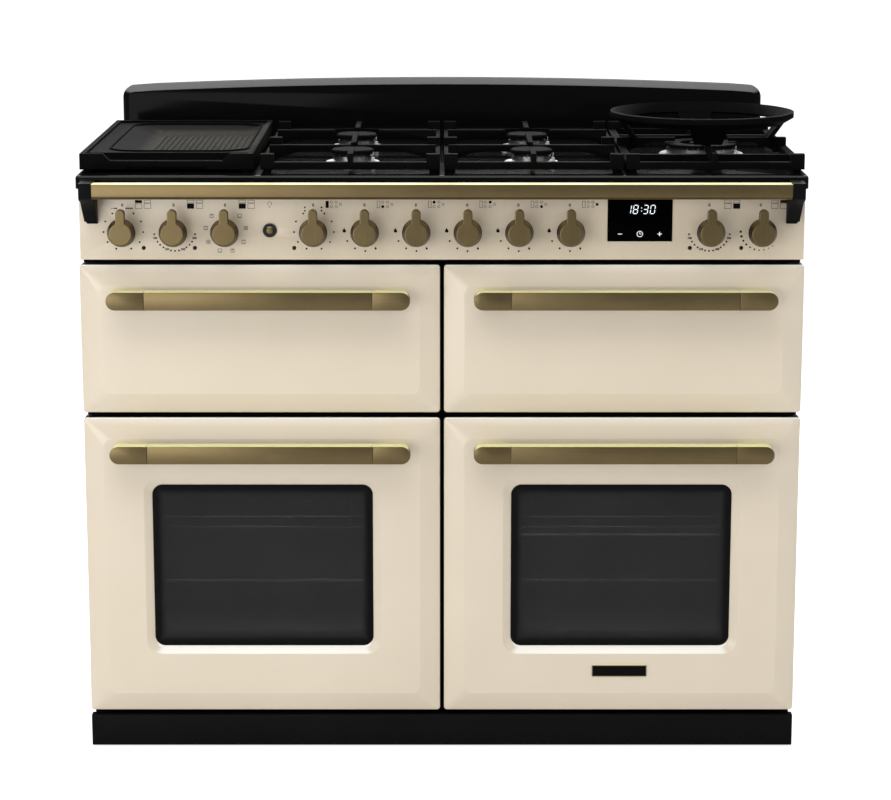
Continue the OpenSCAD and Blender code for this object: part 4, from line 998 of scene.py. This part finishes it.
# %% Oven maps, hob maps, flames, icons and numbers
def oven_map(pen, x, filled):
    """Two columns and two rows: a low upper cell over a taller lower one."""
    for column in (0, 1):
        for row, (z, h) in enumerate(((862.65, 4.4), (855.7, 7.9))):
            cx = x + (column - 0.5) * 13.4
            if (column, row) == filled:
                pen.box(cx, z, 10.6, h)
            else:
                fine.frame(cx, z, 10.6, h, 0.6)


def hob_map(pen, x, filled):
    """The griddle's bar on the left, two pairs of burners, and the large burner."""
    z = 858.3
    if filled == 0:
        pen.box(x - 10.6, z, 4.8, 10.6)
    else:
        fine.frame(x - 10.6, z, 4.8, 10.6, 0.6)
    spots = [(-4.2, 3.4), (-4.2, -3.4), (3.0, 3.4), (3.0, -3.4), (9.4, 0)]
    for number, (dx, dz) in enumerate(spots, 1):
        if number == filled:
            pen.disc(x + dx, z + dz, 2.3)
        else:
            fine.hoop(x + dx, z + dz, 2.1, 0.6)


ink, fine = Print(PRINT_Y), Print(PRINT_Y)
for number, place in sorted(knob_places.items()):
    ink.digit("0", place.x - 0.8, 857.0, 4.4)
for number, shift, cell in ((1, 30.6, (0, 0)), (2, 31.6, (0, 1)), (3, 32.2, (0, 1)),
                            (10, 33.7, (1, 1)), (11, 27.1, (1, 0))):
    oven_map(ink, knob_places[number].x + shift, cell)
for number, filled in zip((4, 5, 6, 7, 8, 9), (0, 2, 1, 3, 4, 5)):
    hob_map(ink, knob_places[number].x + 31, filled)
for number in (5, 6, 7, 8, 9):
    ink.flame(knob_places[number].x - 31.6, KNOB_Z + 0.3, 7.8)
    ink.flame(knob_places[number].x + 15.7, KNOB_Z - 27.2, 4.8)
print("maps drawn")

# %% [markdown]
# ## Scales with numbers
# The temperature knobs carry a run of numbers under their dots, and the function knob has a small square
# sign for each way of heating. The signs here are plain: a box with a bar above or below, a ring or a cross.

# %% Numbers and function signs
for number in (2, 10):
    centre = knob_places[number].x
    for text, turn in (("100", 202.3), ("150", 247.4), ("200", 292.6), ("250", 337.7)):
        a = math.radians(turn)
        ink.digit(text, centre + 32.2 * math.cos(a), KNOB_Z + 31.4 * math.sin(a), 3.1)
centre = knob_places[1].x
for dx in (-11.8, -9.4, 5.4, 8.2, 11.0, 13.8):
    ink.box(centre + dx, 852.2, 2.2, 2.0)
for dx in (-16.6, -14.2):
    fine.box(centre + dx, 852.2, 2.0, 0.8)
centre = knob_places[4].x
for dx, z, pen in ((-13.4, 853.7, ink), (11.8, 853.7, ink), (11.8, 848.6, ink), (-13.4, 848.6, fine)):
    pen.disc(centre + dx, z, 1.4)
centre = knob_places[3].x
signs = ((-21, 22), (21, 22), (30.4, 3.5), (26.6, -17.5), (9.7, -31), (-9.7, -31), (-26.6, -17.5),
         (-30.4, 3.5))
for k, (dx, dz) in enumerate(signs):
    x, z = centre + dx, KNOB_Z + dz
    ink.frame(x, z, 5.8, 5.8, 0.6)
    if k % 4 in (0, 3):
        fine.line(x - 1.8, z + 1.7, x + 1.8, z + 1.7, 0.5)
    if k % 4 in (1, 3):
        fine.line(x - 1.8, z - 1.7, x + 1.8, z - 1.7, 0.5)
    if k % 4 == 2:
        fine.hoop(x, z, 1.6, 0.45, 10)
    if k % 2 == 0:
        fine.line(x - 1.1, z - 1.1, x + 1.1, z + 1.1, 0.4)
        fine.line(x - 1.1, z + 1.1, x + 1.1, z - 1.1, 0.4)
LIGHT_X = middle("light_button").x
fine.hoop(LIGHT_X, 859.2, 3.3, 0.6, 16, -50, 280)
fine.box(LIGHT_X, 855.0, 2.8, 0.6)
fine.box(LIGHT_X, 853.8, 2.2, 0.6)
ink.lay("panel_maps", "ink")
fine.lay("panel_numbers", "ink_soft")
print("numbers drawn")

# %% [markdown]
# ## The clock
# The clock is a black glass tile with a lit time, a minus, a plus and a small clock sign. Each digit is
# built from the seven bars of a plain display, leaning a little to the right.

# %% Clock digits
SEGMENTS = {"0": "abcdef", "1": "bc", "3": "abcdg", "8": "abcdefg"}


def seven(pen, text, x, z, w, h, t, lean=0.14):
    bars = {"a": (0, h, w, h), "g": (0, h / 2, w, h / 2), "d": (0, 0, w, 0), "f": (0, h / 2, 0, h),
            "e": (0, 0, 0, h / 2), "b": (w, h / 2, w, h), "c": (w, 0, w, h / 2)}
    for name in SEGMENTS[text]:
        x0, z0, x1, z1 = bars[name]
        gap = t * 0.62
        flat = z0 == z1
        x0, x1 = (x0 + gap, x1 - gap) if flat else (x0, x1)
        z0, z1 = (z0, z1) if flat else (z0 + gap, z1 - gap)
        pen.line(x + x0 + lean * z0, z + z0, x + x1 + lean * z1, z + z1, t)


low, high = local_box("clock_display")
clock = Print(low.y - 0.06)
clock_x, clock_low = (low.x + high.x) / 2, low.z
for text, dx in zip("1830", (-19.6, -9.4, 5.8, 16.4)):
    seven(clock, text, clock_x - 1.5 + dx, clock_low + 42.4, 6.4, 12.8, 1.15)
for dz in (46.4, 51.2):
    clock.disc(clock_x + 2.2, clock_low + dz, 0.75)
clock.box(clock_x - 30.0, clock_low + 11.4, 6.4, 0.9)
clock.box(clock_x + 30.0, clock_low + 11.4, 6.4, 0.9)
clock.box(clock_x + 30.0, clock_low + 11.4, 0.9, 6.4)
clock.hoop(clock_x, clock_low + 11.4, 4.6, 0.75, 24)
clock.line(clock_x, clock_low + 11.2, clock_x, clock_low + 14.0, 0.7)
clock.line(clock_x - 0.2, clock_low + 11.4, clock_x + 2.2, clock_low + 11.4, 0.7)
clock.lay("clock_time", "digits")
eased("clock_display", 0.7, 2)
print("clock at", round(clock_x))

# %% [markdown]
# ## Lamps, badge plate and the rest of the trim
# Five small neon lamps sit in the panel, dark when they are off. Each is a turned dome, a stack of circles.
# The plate on the right-hand door is left bare: a black tile in a thin brass frame.

# %% Indicator lamps and the bare plate
def turned(work, cx, cz, profile, count=32):
    tube(work, [circle_ring(cx, cz, r, y, count) for r, y in profile])


lamps = bmesh.new()
for number, dx in ((1, 30.2), (2, 30.2), (4, -30.1), (10, -29.1), (11, -28.9)):
    turned(lamps, knob_places[number].x + dx, 791.9,
           [(0.5, -1.5), (1.7, -1.3), (2.6, -0.8), (3.1, -0.2), (3.2, 0.0)])
link("indicator_lamps", shed(lamps, "lamps"), "lens", "cabinet")


def plate_part(name, finish, w, h, front, back, r, ease):
    """A rounded tile; its front and back are measured out from the door's field."""
    rings = [ring(PLATE_X, PLATE_Z, w - 2 * inset, h - 2 * inset, r, -FIELD_OUT - out)
             for inset, out in ((ease, front), (0, front - ease), (0, back))]
    return link(name, strung(rings), finish, "door_right")


PLATE_X, PLATE_Z = 276.3, 128.0
plate_part("plate_frame", "antique_brass", 85.3, 18.6, 1.6, 0.0, 1.2, 0.4)
plate_part("plate_face", "gloss_black", 82.4, 15.8, 1.9, 1.5, 0.8, 0.1)
print("trim done")

# %% [markdown]
# ## The hob
# The hob's top is one pressing with a rolled lip, and the upstand behind it has a broad rounded edge along
# its arched top. Both keep their outlines: only their edges are rolled over. The castings on top get a
# smaller easing, as a mould would leave.

# %% Hob, upstand and castings
def tray_mesh():
    (low, high), centre = local_box("hob_tray"), middle("hob_tray")
    w, d, up = high - low
    path = [(4.0, up - 1.3), (1.4, up - 3.0), (1.2, 0.0), (0.0, 0.0), (0.0, up - LIP_R)]
    path += [(LIP_R * (1 - math.cos(a)), up - LIP_R * (1 - math.sin(a)))
             for a in (math.radians(15 * k) for k in range(1, 7))]
    return strung([flat_ring(centre.x, centre.y, w - 2 * inset, d - 2 * inset,
                             TRAY_R - min(inset, LIP_R), HOB - up + z) for inset, z in path])


def upstand_outline(inset, y):
    low, high = local_box("rear_upstand")
    half, top = (high.x - low.x) / 2, high.z
    sag, corner = UPSTAND_DROP, UPSTAND_R
    arch = half ** 2 / (2 * sag) + sag / 2
    side, r = top - sag - corner, corner - inset
    points = [(-half + inset, HOB)]
    points += [(-half + corner + r * math.cos(a), side + r * math.sin(a))
               for a in (math.radians(180 - 9 * k) for k in range(10))]
    points += [(x, top - inset - arch + math.sqrt(arch ** 2 - x ** 2))
               for x in ((half - corner) * (k / 16 - 1) for k in range(1, 32))]
    points += [(-x, z) for x, z in reversed(points[:11])]
    return [at(x, y, z) for x, z in points]


def upstand_mesh():
    low, high = (corner.y for corner in local_box("rear_upstand"))
    path = [(0, high), (0, low + CHAMFER), (0.3, low + CHAMFER - 0.9), (CHAMFER - 0.9, low + 0.3),
            (CHAMFER, low)]
    return strung([upstand_outline(inset, y) for inset, y in path])


LIP_R, TRAY_R, UPSTAND_DROP, UPSTAND_R, CHAMFER = 5, 10, 13, 20, 11
stand_for("hob_tray_pressed", tray_mesh(), "hob_tray", smooth=math.radians(40))
stand_for("rear_upstand_pressed", upstand_mesh(), "rear_upstand", smooth=math.radians(30))
eased("wok_cradle", 1.8, 2, 30)
eased("control_panel", 1.6, 3, 60, "cream_panel")
for support in ("pan_support_left", "pan_support_centre", "pan_support_right"):
    eased(support, 1.3, 2, 32)
eased("griddle", 1.4, 2, 34, "cast_seasoned")
eased("plinth", 1.0, 2, 60)
for node in body_of:
    if not frame["nodes"][node].hide_render:
        dress(node)
print("hob dressed")

# %% [markdown]
# ## Screws, in rows
# The back panel is held by rows of small screws. A row is one line of points with a pan head on each, so a
# second Geometry Nodes tree makes it: how many, from where, how far apart and how big. The heads look
# backwards.

# %% A node tree for a row of screws
HEAD_TAPER = 0.72
screws = grower(
    "screw_row",
    [("Count", "Int"), ("First", "Vector"), ("Step", "Vector"), ("Head", "Float"), ("Finish", "Material")],
    [("row", "GeometryNodeMeshLine", {}), ("head", "GeometryNodeMeshCone", {"Vertices": 18, "Depth": 0.0016}),
     ("taper", "ShaderNodeMath", {"operation": "MULTIPLY", 1: HEAD_TAPER}),
     ("turn", "GeometryNodeTransform", {"Rotation": (-UPRIGHT, 0, 0)}),
     ("copies", "GeometryNodeInstanceOnPoints", {})],
    [("given", "Count", "row", "Count"), ("given", "First", "row", "Start Location"),
     ("given", "Step", "row", "Offset"), ("given", "Head", "taper", 0), ("taper", 0, "head", "Radius Top"),
     ("given", "Head", "head", "Radius Bottom"), ("head", "Mesh", "turn", "Geometry"),
     ("row", "Mesh", "copies", "Points"), ("turn", "Geometry", "copies", "Instance"),
     ("copies", "Instances", "real", "Geometry")])


SCREW_EDGE, SCREW_RISE, HEAD_R, ACROSS, UPWARD = 9, 160, 3.4, 9, 4
low, high = local_box("back_panel")
west, east, foot, top = low.x + SCREW_EDGE, high.x - SCREW_EDGE, low.z + SCREW_EDGE, high.z - SCREW_EDGE
gap = (east - west) / (ACROSS - 1)
made = []
for count, x, z, step in ((ACROSS, west, top, (gap, 0, 0)), (ACROSS, west, foot, (gap, 0, 0)),
                          (UPWARD, west, foot + SCREW_RISE, (0, 0, SCREW_RISE)),
                          (UPWARD, east, foot + SCREW_RISE, (0, 0, SCREW_RISE))):
    values = {"Count": count, "First": at(x, high.y, z), "Step": Vector(step) * MM, "Head": HEAD_R * MM,
              "Finish": finishes["galvanised"]}
    made.append(grown(screws, values, "row"))
link("back_screws", joined(made, "back_screws"), "galvanised", "cabinet")
print("screws", 2 * (ACROSS + UPWARD))

# %% [markdown]
# ## Inside the ovens
# A rubber seal runs round each oven's mouth, in the gap between the frame and the door's liner. A domed
# lamp glass sits in the back wall of each oven, above and to the left of the fan.

# %% Door seals and oven lamps
SHEET, SEAL_R, SEAL_OUT, SEAL_STEPS = 1.2, 4.4, 10, 12
cavity_low, cavity_high = local_box("oven_cavities")
mouth_z, mouth_h = middle("oven_cavities").z, cavity_high.z - cavity_low.z
frame_face, back_wall = cavity_low.y - SHEET, cavity_high.y - SHEET
dome = [(17.0, -0.1), (17.0, 3.0), (15.5, 4.4), (13.6, 4.6), (12.8, 10.0), (9.6, 13.6), (4.0, 15.2),
        (0.5, 15.4)]
for side in ("left", "right"):
    door_x = middle(f"door_shell_{side}").x
    mouth_w = 2 * (cavity_high.x - abs(door_x))
    rings = []
    for k in range(SEAL_STEPS):
        turn = 2 * math.pi * k / SEAL_STEPS
        grow = 2 * (SEAL_OUT + SEAL_R * math.cos(turn))
        rings.append(ring(door_x, mouth_z, mouth_w + grow, mouth_h + grow, 16 + grow / 2,
                          frame_face - SEAL_R + SEAL_R * math.sin(turn)))
    link(f"door_seal_{side}", strung(rings, closed=True), "rubber", "cabinet", smooth=math.radians(60))
    lamp = bmesh.new()
    turned(lamp, door_x - 160, mouth_z + mouth_h / 2 - 44, [(r, back_wall - out) for r, out in dome])
    link(f"oven_lamp_{side}", shed(lamp, "oven_lamp"), "lamp_glass", "cabinet")
print("mouth", round(mouth_w), round(mouth_h))

# %% [markdown]
# ## Spark pins and the warming zone
# Each burner is lit by a steel pin in a glazed collar that stands beside its cup. Under the griddle lies a
# plain ceramic warming plate, which shows when the griddle is lifted off. The griddle's bowl has a raised
# bead round its edge.

# %% Pins, plate and bead
bases = {}
low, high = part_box("burner_bases")
for vert in frame["nodes"]["burner_bases"].data.vertices:
    large = vert.co.x > high.x - 0.2
    key = "wok" if large else (vert.co.x > 0, vert.co.y > (low.y + high.y) / 2)
    bases.setdefault(key, []).append(vert.co.copy())
pins, collars = bmesh.new(), bmesh.new()
for key, points in bases.items():
    x0, x1 = min(p.x for p in points) / MM, max(p.x for p in points) / MM
    y0, y1 = min(p.y for p in points), max(p.y for p in points)
    reach = (x1 - x0) / 2 + 4.2
    x, y = (x0 + x1) / 2 + 0.7 * reach, ((y0 + y1) / 2 - DOOR_PLANE) / MM - 0.7 * reach
    for work, profile in ((collars, [(3.4, 0.0), (3.4, 9.0), (2.6, 10.0), (2.6, 13.0), (1.9, 13.8)]),
                          (pins, [(0.9, 13.0), (0.9, 20.0), (0.4, 21.0)])):
        circles = [[at(x + r * math.cos(k * math.pi / 8), y + r * math.sin(k * math.pi / 8), HOB + up)
                    for k in range(16)] for r, up in profile]
        tube(work, circles)
for name, work, finish in (("spark_collars", collars, "ceramic"), ("spark_pins", pins, "bright_wire")):
    link(name, shed(work, name), finish, "cabinet")

(low, high), centre = local_box("griddle"), middle("griddle")
griddle_w, griddle_d = high.x - low.x, high.y - low.y
plate = [flat_ring(centre.x, centre.y, 178 - 2 * inset, 400 - 2 * inset, 12, HOB + up)
         for inset, up in ((0, -0.05), (0, 1.6), (0.8, 2.4))]
link("warming_plate", strung(plate), "gloss_black", "cabinet")
bowl_w, bowl_d = griddle_w - 50, griddle_d - 92
bead = [flat_ring(centre.x + 10, centre.y + 18, bowl_w + grow, bowl_d + grow, 44 + grow / 2, high.z - 4 + up)
        for grow, up in ((5.0, -0.1), (4.4, 1.5), (2.6, 2.5), (0.4, 2.4), (-1.0, 1.2), (-1.4, -0.1))]
link("griddle_bead", strung(bead, closed=True), "cast_black", "griddle")
print("burners", len(bases), "griddle", round(griddle_w), round(griddle_d))

# %% [markdown]
# ## Floor
# A plain pale floor catches a soft shadow. To the camera, and in reflections, it is as white as the
# backdrop, so no horizon shows.

# %% Floor
def pale_floor():
    stage = Finish("pale_floor", Roughness=0.9, Emission_Strength=0.75, Specular_IOR_Level=0.0)
    dust_floor = stage.noise(1.5, 3.0)
    stage.set(Base_Color=stage.blend(dust_floor, (0.80, 0.80, 0.80), (0.83, 0.83, 0.83)))
    looked_at = stage.node("LightPath")
    stage.set(Emission_Color=stage.blend(looked_at, (0.0, 0.0, 0.0), (1.0, 1.0, 1.0)))
    work = bmesh.new()
    low = cad_box[0].z - MM
    corners = [(-16, -8), (16, -8), (16, 30), (-16, 30)]
    work.faces.new([work.verts.new((x, y, low)) for x, y in corners])
    floor = bench(shed(work, "floor", outward=False), "floor")
    floor.data.materials.append(stage.material)


pale_floor()
